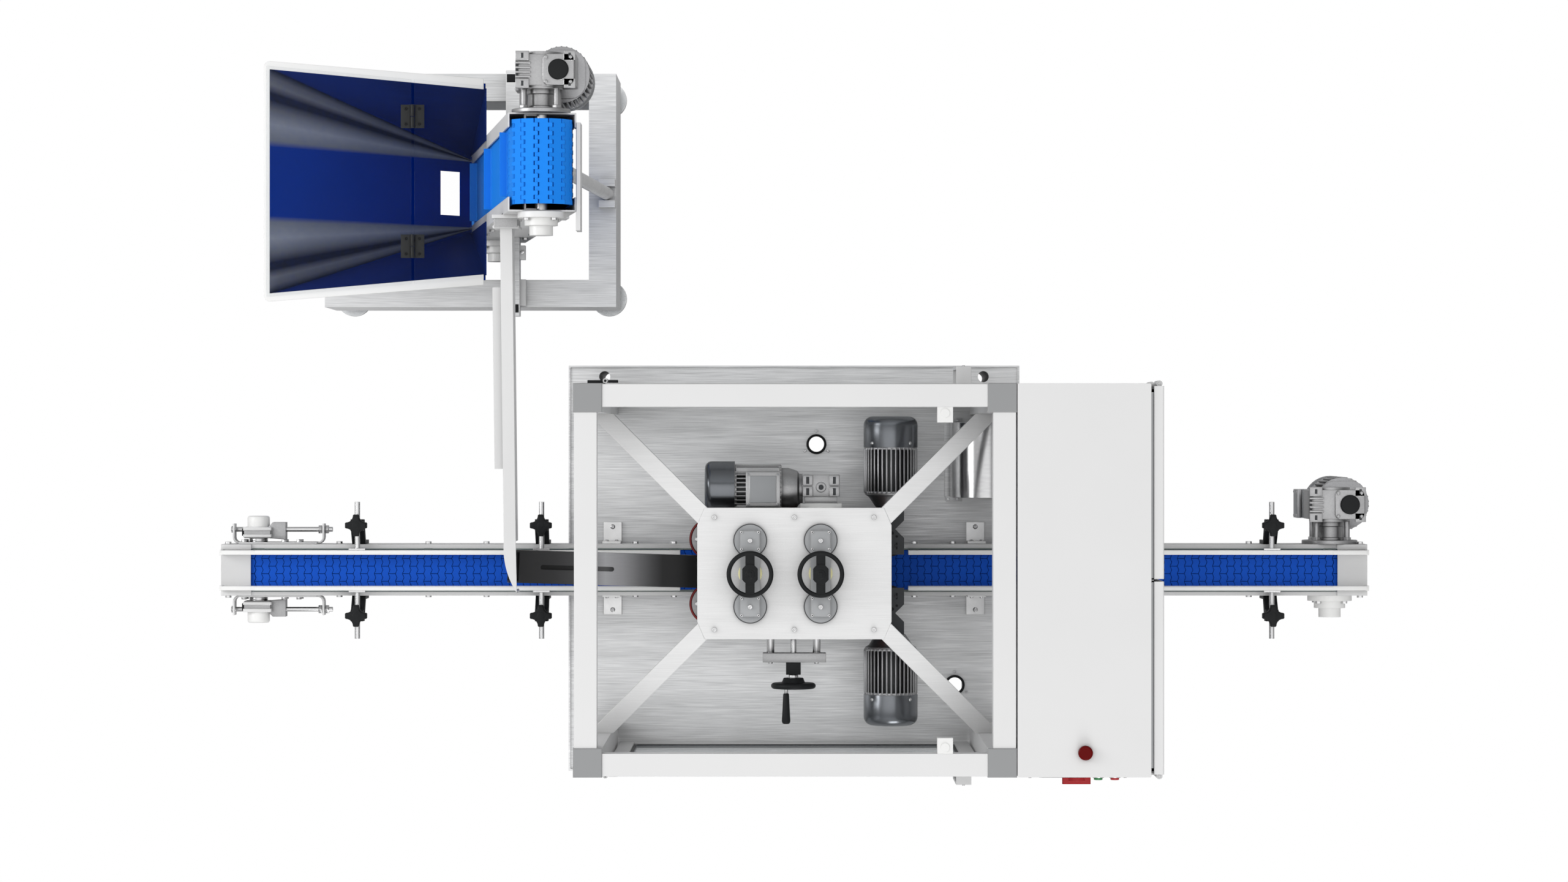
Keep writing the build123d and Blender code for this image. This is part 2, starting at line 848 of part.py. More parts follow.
def door(side):
    # The frame of a door in one long side of the enclosure, drawn on +Y and mirrored for the front.
    half = enclosure_half_x - post_size - door_gap
    low = deck_top + deck_lip + door_gap
    high = enclosure_top - top_rail_drop - door_gap
    high -= top_rail_width
    y = (enclosure_half_y - door_sheet, enclosure_half_y)
    frame = block((-half, half), y, (low, high))
    inner = half - door_bar
    frame -= block((-inner, inner), (y[0] - 1, y[1] + 1), (low + door_bar, high - door_bar))
    for height in door_hinge_heights:
        z = (height, height + door_knuckle_length)
        knuckle = upright(door_pin_x, door_pin_y, z, door_knuckle_radius)
        leaf_y = (enclosure_half_y, enclosure_half_y + door_leaf_sheet)
        leaf = block((door_pin_x, -half + door_leaf_width), leaf_y, z)
        frame += leaf + knuckle
        bore = door_pin_radius + running_clearance
        frame -= upright(door_pin_x, door_pin_y, (z[0] - 1, z[1] + 1), bore)
    outer = enclosure_half_y + handle_reach
    x = (handle_x - handle_width / 2, handle_x + handle_width / 2)
    z = (handle_height - handle_length / 2, handle_height + handle_length / 2)
    frame += block(x, (outer - handle_sheet, outer), z)
    for end in (z[0], z[1] - handle_sheet):
        frame += block(x, (enclosure_half_y - 1, outer - 1), (end, end + handle_sheet))
    return frame if side > 0 else mirror(frame, Plane.XZ)


def door_pane(side):
    half = enclosure_half_x - post_size - door_gap - door_bar
    low = deck_top + deck_lip + door_gap + door_bar
    high = enclosure_top - top_rail_drop - door_gap - top_rail_width - door_bar
    middle = enclosure_half_y - door_sheet / 2
    y = (middle - pane_sheet / 2, middle + pane_sheet / 2)
    pane = block((-half, half), y, (low, high))
    return pane if side > 0 else mirror(pane, Plane.XZ)


def door_hinges():
    # Leaf, knuckle and pin on the post beside each door knuckle.
    hinges = []
    for height in door_hinge_heights:
        low = height - door_knuckle_length - 1
        z = (low, height - 1)
        knuckle = upright(door_pin_x, door_pin_y, z, door_knuckle_radius)
        top = height + door_knuckle_length
        pin = upright(door_pin_x, door_pin_y, (low, top), door_pin_radius)
        x = (door_pin_x - door_leaf_width, door_pin_x)
        leaf = block(x, (enclosure_half_y, enclosure_half_y + door_leaf_sheet), z)
        hinges += both_sides(leaf + knuckle + pin)
    return hinges


def interlock_blocks():
    # A block under each top rail, beside the free edge of its door.
    half = interlock_size / 2
    inner = enclosure_half_y - top_rail_setback - top_rail_width
    top = enclosure_top - top_rail_drop
    x = (interlock_x - half, interlock_x + half)
    return both_sides(block(x, (inner - interlock_size, inner), (top - interlock_height, top)))


def control_cabinet():
    top = enclosure_top
    body = block((cabinet_near, cabinet_far), (-cabinet_half_y, cabinet_half_y), (cabinet_bottom, top))
    body = fillet(body.edges().filter_by(Axis.Z), cabinet_round)
    # The pads that hold the cabinet to the two posts beside it.
    pad = block(
        (enclosure_half_x, cabinet_near + 1),
        (enclosure_half_y - post_size, enclosure_half_y - cabinet_pad_inset),
        (cabinet_bottom + cabinet_pad_drop, top - cabinet_pad_drop),
    )
    body += pad + mirror(pad, Plane.XZ)
    for height in cabinet_hinge_heights:
        low = height - cabinet_knuckle_length - 1
        top = height + cabinet_knuckle_length
        pin_y = cabinet_half_y
        knuckle = upright(cabinet_pin_x, pin_y, (low, height - 1), cabinet_knuckle_radius)
        arm_y = (pin_y - cabinet_arm_sheet, pin_y)
        arm = block((cabinet_far - 1, cabinet_pin_x), arm_y, (low, height - 1))
        pin = upright(cabinet_pin_x, pin_y, (low, top), cabinet_pin_radius)
        hinge = knuckle + arm + pin
        body += hinge + mirror(hinge, Plane.XZ)
    return body


def cabinet_door(side):
    x = (cabinet_door_near, cabinet_door_near + cabinet_door_sheet)
    z = (cabinet_bottom + cabinet_door_inset, enclosure_top - cabinet_door_inset)
    leaf = block(x, (cabinet_door_gap / 2, cabinet_door_half), z)
    leaf = fillet(leaf.edges().filter_by(Axis.Y).group_by(Axis.X)[-1], cabinet_round)
    pin = (cabinet_pin_x, cabinet_half_y)
    bore = cabinet_pin_radius + running_clearance
    for height in cabinet_hinge_heights:
        low = height - cabinet_knuckle_length - cabinet_hinge_room
        top = height + cabinet_knuckle_length
        leaf -= upright(*pin, (low, height), cabinet_knuckle_radius + cabinet_hinge_room)
        leaf += upright(*pin, (height, top), cabinet_knuckle_radius)
        leaf -= upright(*pin, (low, top + 1), bore)
    middle = (cabinet_bottom + enclosure_top) / 2
    handle_z = (middle - cabinet_handle_length / 2, middle + cabinet_handle_length / 2)
    handle_y = (cabinet_handle_y - cabinet_handle_width / 2, cabinet_handle_y + cabinet_handle_width / 2)
    leaf += block((x[1] - 1, x[1] + cabinet_handle_rise), handle_y, handle_z)
    return leaf if side > 0 else mirror(leaf, Plane.XZ)


def operator_panel():
    y = (-cabinet_half_y - panel_sheet, -cabinet_half_y)
    panel = block((panel_left, panel_right), y, (panel_bottom, panel_top))
    start = (knob_x, -cabinet_half_y - panel_sheet, knob_z)
    end = (knob_x, -cabinet_half_y - panel_sheet - knob_base_sheet, knob_z)
    return panel + rod(end, start, knob_base_radius)


def isolator_knob():
    face = -cabinet_half_y - panel_sheet - knob_base_sheet - running_gap
    x = (knob_x - knob_length / 2, knob_x + knob_length / 2)
    z = (knob_z - knob_width / 2, knob_z + knob_width / 2)
    grip = block(x, (face - knob_sheet, face), z)
    grip = fillet(grip.edges().filter_by(Axis.Y), knob_round)
    return grip + crossbar(knob_x, (face - knob_collar_sheet, face), knob_z, knob_collar_radius)


def beacon():
    lamp = upright(beacon_x, beacon_y, (enclosure_top, enclosure_top + beacon_height), beacon_radius)
    return fillet(lamp.edges().group_by(Axis.Z)[-1], beacon_round)


def cable_duct():
    # A closed duct with one rounded shoulder that rises from the deck beside the right posts.
    duct = block((duct_left, duct_right), (duct_front, duct_back), (deck_top, duct_top))
    shoulder = duct.edges().filter_by(Axis.Y).group_by(Axis.X)[0].sort_by(Axis.Z)[-1]
    return fillet(shoulder, duct_round)


def conveyor_sides():
    top = belt_top + side_lip_height
    outer = conveyor_half_width
    web = outer - side_wall
    lip = outer - side_lip
    profile = [
        (outer, conveyor_bottom),
        (outer, top),
        (lip, top),
        (lip, top - side_wall),
        (web, top - side_wall),
        (web, conveyor_bottom + side_wall),
        (lip, conveyor_bottom + side_wall),
        (lip, conveyor_bottom),
    ]
    side = side_profile(profile, -conveyor_half_length, conveyor_half_length)
    for x in (-shaft_x, shaft_x):
        hole = shaft_radius + shaft_hole_clearance
        side -= rod((x, web - 1, shaft_z), (x, outer + 1, shaft_z), hole)
    return both_sides(side)


def conveyor_belt():
    return Pos(0, 0, shaft_z) * loop(belt_radius, belt_thickness, 2 * shaft_x, belt_width)


def conveyor_bed():
    # Cross ties between the sides carry two wear rails under the belt's upper run.
    web = conveyor_half_width - side_wall
    top = belt_top - belt_thickness - running_gap
    reach = shaft_x - belt_radius
    half = wear_rail_width / 2
    bed = None
    for x in tie_positions:
        tie = rod((x, -web, shaft_z), (x, web, shaft_z), tie_radius)
        bed = tie if bed is None else bed + tie
    for y in (-wear_rail_offset, wear_rail_offset):
        bed += block((-reach, reach), (y - half, y + half), (shaft_z, top))
    return bed


def roller_shafts():
    # Conveyor tail, conveyor drive, elevator tail and elevator head, each with its sprockets.
    inner = belt_radius - belt_thickness - running_gap
    shafts = []
    for x, reach in ((-shaft_x, conveyor_half_width + takeup_sheet), (shaft_x, conveyor_half_width)):
        shaft = rod((x, -reach, shaft_z), (x, reach, shaft_z), shaft_radius)
        for y in (-sprocket_offset, sprocket_offset):
            half = sprocket_width / 2
            shaft += rod((x, y - half, shaft_z), (x, y + half, shaft_z), inner)
        shafts.append(shaft)
    inner = elevator_belt_radius - elevator_belt_thickness - running_gap
    for local_z in (0, elevator_span):
        reach = channel_half_outer
        shaft = rod((0, -reach, local_z), (0, reach, local_z), elevator_shaft_radius)
        for y in (-2 * sprocket_offset, 0, 2 * sprocket_offset):
            half = sprocket_width / 2
            shaft += rod((0, y - half, local_z), (0, y + half, local_z), inner)
        shafts.append(leaning * shaft)
    return shafts


def end_covers():
    top = belt_top + side_lip_height
    inner = conveyor_half_width - side_wall
    x = (conveyor_half_length - cover_length, conveyor_half_length)
    cover = block(x, (-conveyor_half_width, conveyor_half_width), (top, top + cover_sheet))
    end = (conveyor_half_length - cover_sheet, conveyor_half_length)
    lip = conveyor_half_width - side_lip - running_gap
    cover += block(end, (-lip, lip), (top - cover_drop, top + 1))
    return [cover, mirror(cover, Plane.YZ)]


def guide_rails():
    y = (rail_gap / 2, rail_gap / 2 + rail_thickness)
    z = (rail_bottom, rail_bottom + rail_height)
    rail = block((rail_inner_end, rail_outer_end), y, z)
    rail = chamfer(rail.edges().filter_by(Axis.X).group_by(Axis.Y)[0], rail_chamfer)
    rails = both_sides(rail)
    return rails + [mirror(r, Plane.YZ) for r in rails]


def guide_bracket(x):
    # An arm from the conveyor's side, the block that clamps the rod, and its star knob.
    half = guide_block_width / 2
    outer = conveyor_half_width
    near = guide_block_centre - guide_block / 2
    far = guide_block_centre + guide_block / 2
    low = rod_z - guide_block / 2
    high = rod_z + guide_block / 2
    foot = belt_top - guide_arm_drop
    profile = [
        (outer, foot),
        (outer + guide_arm_sheet, foot),
        (outer + guide_arm_sheet, belt_top - 2 * guide_arm_sheet),
        (far, low),
        (far, high),
        (near, high),
        (near, rod_z - guide_rod_radius - 2),
        (outer, belt_top - guide_arm_sheet),
    ]
    arm = side_profile(profile, x - half, x + half)
    arm -= crossbar(x, (near - guide_block, far + 1), rod_z, guide_rod_radius + running_clearance)
    top = high + knob_stem
    arm += upright(x, guide_block_centre, (high - 1, top + 1), knob_stem_radius)
    lobe = knob_lobe / 2
    reach = knob_span / 2
    y = guide_block_centre
    knob = upright(x, y, (top, top + knob_height), knob_core_radius)
    knob += block((x - reach, x + reach), (y - lobe, y + lobe), (top, top + knob_height))
    knob += block((x - lobe, x + lobe), (y - reach, y + reach), (top, top + knob_height))
    return arm + knob


def guide_brackets():
    brackets = []
    for x in guide_positions:
        brackets += both_sides(guide_bracket(x))
    return brackets


def guide_rods():
    rods = []
    near = rail_gap / 2 + rail_thickness
    half = clamp_length / 2
    for x in guide_positions:
        bar = rod((x, near + clamp_sheet - 1, rod_z), (x, guide_rod_end, rod_z), guide_rod_radius)
        clamp_z = (rod_z - clamp_half_height, rod_z + clamp_half_height)
        bar += block((x - half, x + half), (near, near + clamp_sheet), clamp_z)
        rods += both_sides(bar)
    return rods


def takeups():
    # Slotted plate with two ears, the adjusting screw, the bearing block and its round cap.
    left = -conveyor_half_length + takeup_inset
    right = left + takeup_length
    outer = conveyor_half_width
    z = (shaft_z - takeup_height / 2, shaft_z + takeup_height / 2)
    plate = block((left, right), (outer, outer + takeup_sheet), z)
    ear_y = (outer, outer + takeup_sheet + takeup_ear)
    ear_z = (shaft_z - takeup_ear_half, shaft_z + takeup_ear_half)
    for x in (left, right - takeup_sheet):
        plate += block((x, x + takeup_sheet), ear_y, ear_z)
    screw_y = outer + takeup_screw_offset
    end = right + takeup_screw_over
    half = takeup_block / 2
    plate += rod((-shaft_x + half - 1, screw_y, shaft_z), (end, screw_y, shaft_z), takeup_screw_radius)
    block_y = outer + takeup_block_depth
    body = block((-shaft_x - half, -shaft_x + half), (outer + takeup_sheet - 1, block_y), z)
    cap = crossbar(-shaft_x, (block_y - 1, block_y + takeup_cap_depth), shaft_z, takeup_cap_radius)
    unit = plate + body + cap
    unit -= crossbar(-shaft_x, (outer - 1, outer + takeup_sheet), shaft_z, shaft_radius)
    return both_sides(unit)


def bearing(x, face, z, outward):
    # A flanged bearing on a vertical face, with its hub and cap.
    flange = rod((x, face, z), (x, face + outward * bearing_flange_sheet, z), bearing_flange_radius)
    hub_start = face + outward * (bearing_flange_sheet - 1)
    hub_end = face + outward * (bearing_flange_sheet + bearing_hub_length)
    cap_end = hub_end + outward * bearing_cap_length
    hub = rod((x, hub_start, z), (x, hub_end, z), bearing_hub_radius)
    cap = rod((x, hub_end - outward, z), (x, cap_end, z), bearing_cap_radius)
    return flange + hub + cap


def shaft_bearings():
    return [
        bearing(shaft_x, -conveyor_half_width, shaft_z, -1),
        bearing(head_x, elevator_y - channel_half_outer, head_z, -1),
        bearing(tail_x, elevator_y - channel_half_outer, tail_z, -1),
        bearing(tail_x, elevator_y + channel_half_outer, tail_z, 1),
    ]


def gearbox(x, face, z):
    # Round mounting plate, four standoffs and the hub, then the worm gearbox with its cap.
    hub_end = face + mount_length
    body = rod((x, face, z), (x, face + mount_sheet, z), mount_radius)
    body += rod((x, face + mount_sheet - 1, z), (x, hub_end + 1, z), mount_hub_radius)
    for corner in range(4):
        angle = math.radians(45 + 90 * corner)
        sx = x + standoff_circle * math.cos(angle)
        sz = z + standoff_circle * math.sin(angle)
        body += rod((sx, face + mount_sheet - 1, sz), (sx, hub_end + 1, sz), standoff_radius)
    y = (hub_end, hub_end + gearbox_depth)
    case = block((x - gearbox_left, x + gearbox_right), y, (z - gearbox_down, z + gearbox_up))
    case = fillet(case.edges().filter_by(Axis.Y), gearbox_round)
    middle = hub_end + gearbox_depth / 2
    cap_z = (z + gearbox_up - 1, z + gearbox_up + gearbox_cap_height)
    return body + case + upright(x + input_offset, middle, cap_z, gearbox_cap_radius)


def gearboxes():
    return [
        gearbox(shaft_x, conveyor_half_width, shaft_z),
        gearbox(head_x, elevator_y + channel_half_outer, head_z),
    ]


def hanging_motor(x, face, z):
    # The motor hangs from the gearbox: flange, finned body, fan cover and terminal box.
    y = face + mount_length + gearbox_depth / 2
    x = x + input_offset
    top = z - gearbox_down
    body_end = top - motor_flange_sheet - motor_body_length
    cover_end = body_end - motor_cover_length
    flange_bottom = top - motor_flange_sheet
    core = motor_radius - fin_height
    motor = upright(x, y, (flange_bottom, top), motor_flange_radius)
    motor += finned((x, y, body_end), (x, y, flange_bottom + 1), core, motor_radius)
    cover = upright(x, y, (cover_end, body_end + 1), motor_cover_radius)
    motor += fillet(cover.edges().group_by(Axis.Z)[0], cover_round)
    half = terminal_box_width / 2
    box_x = (x - terminal_box_out, x - core + fin_height)
    box_top = flange_bottom - terminal_box_drop
    motor += block(box_x, (y - half, y + half), (box_top - terminal_box_height, box_top))
    return motor


def gear_motors():
    return [
        hanging_motor(shaft_x, conveyor_half_width, shaft_z),
        hanging_motor(head_x, elevator_y + channel_half_outer, head_z),
    ]


def conveyor_feet():
    feet = []
    outer = conveyor_half_width
    half = foot_bracket_width / 2
    for x in (-foot_bracket_x, foot_bracket_x):
        span = (x - half, x + half)
        foot = block(span, (outer, outer + foot_bracket_reach), (deck_top, deck_top + foot_bracket_sheet))
        foot += block(span, (outer, outer + foot_bracket_sheet), (deck_top, deck_top + foot_bracket_height))
        feet += both_sides(foot)
    return feet


def elevator_base():
    x = (elevator_base_left, elevator_base_right)
    y = (elevator_base_front, elevator_base_back)
    z = (base_rail_bottom, base_rail_top)
    ring = block(x, y, z)
    inner_x = (x[0] + base_rail, x[1] - base_rail)
    inner_y = (y[0] + base_rail, y[1] - base_rail)
    return ring - block(inner_x, inner_y, (z[0] - 1, z[1] + 1))


def elevator_sides():
    outer_x = channel_half_depth
    inner_x = outer_x - channel_wall
    near = channel_half_outer - channel_depth
    z = (-channel_below, elevator_span + channel_above)
    side = block((-outer_x, outer_x), (near, channel_half_outer), z)
    side -= block((-inner_x, inner_x), (near - 1, channel_half_outer - channel_wall), (z[0] - 1, z[1] + 1))
    for local_z in (0, elevator_span):
        hole = elevator_shaft_radius + shaft_hole_clearance
        side -= rod((0, near, local_z), (0, channel_half_outer + 1, local_z), hole)
    front = leaning * mirror(side, Plane.XZ)
    window_x = chute_width / 2 - chute_wall
    window_z = (chute_start_z - chute_height + chute_wall, chute_start_z - chute_wall)
    web_y = elevator_y - channel_half_outer
    front -= block((chute_x - window_x, chute_x + window_x), (web_y - 1, web_y + channel_wall + 1), window_z)
    return [front, leaning * side]


def elevator_belt():
    belt = loop(elevator_belt_radius, elevator_belt_thickness, elevator_span, elevator_belt_width)
    return leaning * Pos(0, 0, elevator_span / 2) * Rot(0, 90, 0) * belt


def elevator_struts():
    # Two arms on the base rails, the back strut with its clevis, and the tie it leans on.
    x = (arm_channel_left, arm_channel_left + arm_channel_width)
    z = (base_rail_top, base_rail_top + arm_channel_height)
    web = elevator_y - channel_half_outer
    front = block(x, (arm_channel_front, web), z)
    back = block(x, (2 * elevator_y - web, 2 * elevator_y - arm_channel_front), z)
    foot_z = base_rail_top + clevis_height / 2
    half = clevis_width / 2
    clevis_x = (strut_foot_x - half, strut_foot_x + half)
    reach = clevis_half - clevis_pin_inset
    clevis_z = (base_rail_top, base_rail_top + clevis_height)
    clevis = block(clevis_x, (elevator_y - clevis_half, elevator_y + clevis_half), clevis_z)
    clevis -= block(
        (clevis_x[0] - 1, clevis_x[1] + 1),
        (elevator_y - strut_radius - 1, elevator_y + strut_radius + 1),
        (base_rail_top + clevis_floor, base_rail_top + clevis_height + 1),
    )
    clevis += crossbar(strut_foot_x, (elevator_y - reach, elevator_y + reach), foot_z, clevis_pin_radius)
    back_x = left_at(strut_head_z, channel_half_depth)
    strut_end = (back_x + tie_bar_sheet / 2, elevator_y, strut_head_z)
    strut = rod((strut_foot_x, elevator_y, foot_z), strut_end, strut_radius)
    local_z = (strut_head_z - tail_z) / math.cos(tilt)
    tie_z = (local_z - tie_bar_height, local_z + tie_bar_height)
    tie_x = (channel_half_depth, channel_half_depth + tie_bar_sheet)
    tie = leaning * block(tie_x, (-channel_half_outer, channel_half_outer), tie_z)
    room = leaning * block((-channel_half_depth, channel_half_depth), (-200, 200), (0, elevator_span))
    return [front, back, clevis + (strut - room) + tie]


def guard_plate():
    # A plate behind the head of the elevator, on two rods from its side channels.
    x = (guard_left, guard_left + guard_sheet)
    plate = block(x, (guard_front, guard_back), (guard_bottom, guard_top))
    middle = (guard_bottom + guard_top) / 2
    start_x = left_at(middle, channel_half_depth)
    for y in (elevator_y - guard_rod_offset, elevator_y + guard_rod_offset):
        plate += rod((start_x, y, middle), (guard_left + 1, y, middle), guard_rod_radius)
    reach = (-channel_half_outer, channel_half_outer)
    body = leaning * block((-channel_half_depth, channel_half_depth), reach, (0, 2 * elevator_span))
    return plate - body


def hopper_points():
    # Corners of the inside of the hopper: mouth at the rim, foot at the belt.
    plane_x = -channel_half_depth - hopper_wall
    rim_right = left_at(hopper_rim_z, plane_x)
    foot_right = left_at(hopper_foot_z, plane_x)
    front = elevator_y - hopper_foot_half
    back = elevator_y + hopper_foot_half
    return {
        "A": (hopper_left, hopper_left_front, hopper_rim_z),
        "B": (rim_right, hopper_right_front, hopper_rim_z),
        "C": (foot_right, front, hopper_foot_z),
        "D": (rim_right, front, hopper_rim_z),
        "a": (hopper_left, hopper_left_back, hopper_rim_z),
        "b": (rim_right, hopper_right_back, hopper_rim_z),
        "c": (foot_right, back, hopper_foot_z),
        "d": (rim_right, back, hopper_rim_z),
    }


def hopper():
    p = hopper_points()
    faces = [
        [p["A"], p["B"], p["b"], p["a"]],
        [p["A"], p["a"], p["c"], p["C"]],
        [p["A"], p["C"], p["B"]],
        [p["a"], p["b"], p["c"]],
        [p["B"], p["C"], p["c"], p["b"]],
    ]
    sides = [Face(Wire.make_polygon([Vector(*corner) for corner in face])) for face in faces]
    inside = Solid(Shell(sides))
    mouth = inside.faces().sort_by(Axis.Z)[-1]
    shell = offset(inside, hopper_wall, openings=[mouth], kind=Kind.INTERSECTION)
    # The throat where the elevator's belt closes the hopper.
    throat = [p["C"], p["D"], p["d"], p["c"]]
    shell -= Pos(-hopper_wall, 0, 0) * plate_between(throat, 4 * hopper_wall, (1, 0, 0))
    # Flange round three sides of the mouth.
    rim_z = (hopper_rim_z - rim_sheet, hopper_rim_z)
    right = p["B"][0]
    outline = [
        (hopper_left - rim_width, hopper_left_front - rim_width),
        (right, hopper_right_front - rim_width),
        (right, hopper_right_back + rim_width),
        (hopper_left - rim_width, hopper_left_back + rim_width),
    ]
    rim = plan(outline, *rim_z)
    rim = fillet(rim.edges().filter_by(Axis.Z).group_by(Axis.X)[0], rim_width)
    mouth_outline = [p["A"][:2], p["B"][:2], p["b"][:2], p["a"][:2]]
    rim -= plan(mouth_outline, rim_z[0] - 1, rim_z[1] + 1)
    shell = shell + (rim - inside)
    # Window in the sloping floor near its foot.
    slope = math.degrees(math.atan2(p["A"][2] - p["C"][2], p["C"][0] - p["A"][0]))
    half = hopper_window_width / 2
    window_x = (-hopper_window_back - hopper_window_length, -hopper_window_back)
    window = block(window_x, (-half, half), (-2 * rim_width, 2 * rim_width))
    return shell - Location((p["C"][0], elevator_y, p["C"][2]), (0, slope, 0)) * window


def lid_outline(low_x, high_x):
    # A stretch of the hopper's mouth in plan, between two values of x.
    p = hopper_points()
    right = p["B"][0]

    def edge(x, left_y, right_y):
        share = (x - hopper_left) / (right - hopper_left)
        return left_y + share * (right_y - left_y)

    return [
        (low_x, edge(low_x, hopper_left_front, hopper_right_front) - rim_width / 2),
        (high_x, edge(high_x, hopper_left_front, hopper_right_front) - rim_width / 2),
        (high_x, edge(high_x, hopper_left_back, hopper_right_back) + rim_width / 2),
        (low_x, edge(low_x, hopper_left_back, hopper_right_back) + rim_width / 2),
    ]


def lid_z():
    low = hopper_rim_z + lid_gap
    return low, low + lid_sheet


def lid_pin_z():
    return hopper_rim_z + lid_gap + lid_sheet + lid_hinge_rise


def lid_fixed():
    high = lid_z()[1]
    pin_z = lid_pin_z()
    half = lid_hinge_width / 2
    right = left_at(hopper_rim_z, -channel_half_depth) - hopper_wall
    plate = plan(lid_outline(lid_split + lid_knuckle_radius, right), hopper_rim_z, high)
    for y in lid_hinge_places:
        x = (lid_split + lid_knuckle_radius + 1, lid_split + half)
        span = (y - half, y - 1)
        plate += block(x, (y - half, y + half), (high, high + lid_leaf_sheet))
        knuckle = crossbar(lid_split, span, pin_z, lid_knuckle_radius)
        top = pin_z + lid_pin_radius
        tongue = block((lid_split, x[0] + lid_tongue), span, (pin_z - lid_pin_radius, top))
        riser = block((x[0], x[0] + lid_tongue), span, (high, top))
        pin = crossbar(lid_split, (span[0], y + half), pin_z, lid_pin_radius)
        plate += knuckle + tongue + riser + pin
    return plate


def lid_leaf():
    low, high = lid_z()
    pin_z = lid_pin_z()
    half = lid_hinge_width / 2
    plate = plan(lid_outline(hopper_left - rim_width / 2, lid_split - lid_knuckle_radius), low, high)
    for y in lid_hinge_places:
        x = (lid_split - half, lid_split - lid_knuckle_radius - 1)
        span = (y, y + half)
        plate += block(x, (y - half, y + half), (high, high + lid_leaf_sheet))
        knuckle = crossbar(lid_split, span, pin_z, lid_knuckle_radius)
        top = pin_z + lid_pin_radius
        tongue = block((x[1] - lid_tongue, lid_split), span, (pin_z - lid_pin_radius, top))
        riser = block((x[1] - lid_tongue, x[1]), span, (high, top))
        plate += knuckle + tongue + riser
        bore = lid_pin_radius + running_clearance
        plate -= crossbar(lid_split, (y - 1, y + half + 1), pin_z, bore)
    return plate


def cap_outlet():
    # Sleeve between the window in the elevator's side and the start of the chute.
    web_y = elevator_y - channel_half_outer
    half = outlet_width / 2
    top = chute_start_z + (outlet_height - chute_height) / 2
    sleeve = block((chute_x - half, chute_x + half), (chute_start_y, web_y), (top - outlet_height, top))
    inner = chute_width / 2 - chute_wall
    z = (chute_start_z - chute_height + chute_wall, chute_start_z - chute_wall)
    return sleeve - block((chute_x - inner, chute_x + inner), (chute_start_y - 1, web_y + 1), z)


def chute_outline(margin):
    return [
        (chute_start_y, chute_start_z - margin),
        (chute_end_y, chute_end_z - margin),
        (chute_end_y, chute_end_z - chute_height + margin),
        (chute_start_y, chute_start_z - chute_height + margin),
    ]


def cap_chute():
    # A narrow channel on edge, closed all round, that ends in a curved mouth over the conveyor.
    half = chute_width / 2
    chute = side_profile(chute_outline(0), chute_x - half, chute_x + half)
    inner = chute_outline(chute_wall)
    inner[0] = (chute_start_y + 1, inner[0][1])
    inner[3] = (chute_start_y + 1, inner[3][1])
    inner[1] = (chute_end_y - 1, inner[1][1])
    inner[2] = (chute_end_y - 1, inner[2][1])
    chute -= side_profile(inner, chute_x - half + chute_wall, chute_x + half - chute_wall)
    top = chute_end_z
    low = top - mouth_height
    left = Line((chute_x - half, chute_end_y), (chute_x + half, chute_end_y))
    right = Line((chute_x + half, chute_end_y), (mouth_tip_x, mouth_tip_y))
    bulge = (chute_x - half + mouth_bulge_x, (chute_end_y + mouth_tip_y) / 2 - mouth_bulge_y)
    curve = ThreePointArc((mouth_tip_x, mouth_tip_y), bulge, (chute_x - half, chute_end_y))
    face = make_face(Curve() + [left, right, curve])
    mouth = Pos(0, 0, low) * extrude(face, mouth_height)
    mouth -= Pos(chute_wall, 0, low - chute_wall) * extrude(face, mouth_height)
    inside_z = (low - 1, top - chute_wall)
    open_y = (mouth_tip_y + mouth_front_wall, chute_end_y - chute_width / 2)
    mouth -= block((chute_x, chute_x + 3 * chute_width), open_y, inside_z)
    passage_x = (chute_x - half + chute_wall, chute_x + half - chute_wall)
    mouth -= block(passage_x, (chute_end_y - mouth_passage, chute_end_y + 1), inside_z)
    place, length = track_place()
    mouth -= place * block((-1, length), (-track_width / 2, track_width / 2), (-2 * track_height, 0))
    return chute + mouth


def chute_support():
    # A flat tube beside the chute, open at both ends, that follows its slope.
    slope = (chute_start_z - chute_end_z) / (chute_start_y - chute_end_y)
    back_z = chute_start_z - (chute_start_y - chute_support_back) * slope
    front_z = chute_start_z - (chute_start_y - chute_support_front) * slope
    right = chute_x - chute_width / 2
    left = chute_support_left
    drop = chute_height / 2
    wall = chute_support_wall
    half = chute_support_height / 2

    def outline(margin, over):
        back = (chute_support_back + over, back_z - drop + over * slope)
        front = (chute_support_front - over, front_z - drop - over * slope)
        reach = half - margin
        return [
            (back[0], back[1] + reach),
            (front[0], front[1] + reach),
            (front[0], front[1] - reach),
            (back[0], back[1] - reach),
        ]

    tube = side_profile(outline(0, 0), left, right)
    return tube - side_profile(outline(wall, 1), left + wall, right - wall)


def track_place():
    # Where the track starts, turned and pitched, and how long it is.
    run = math.hypot(track_right - track_left, track_left_y)
    drop = track_left_top - track_right_top
    pitch = math.degrees(math.atan2(drop, run))
    yaw = -math.degrees(math.atan2(track_left_y, track_right - track_left))
    place = Pos(track_left, track_left_y, track_left_top) * Rot(0, 0, yaw) * Rot(0, pitch, 0)
    return place, math.hypot(run, drop)


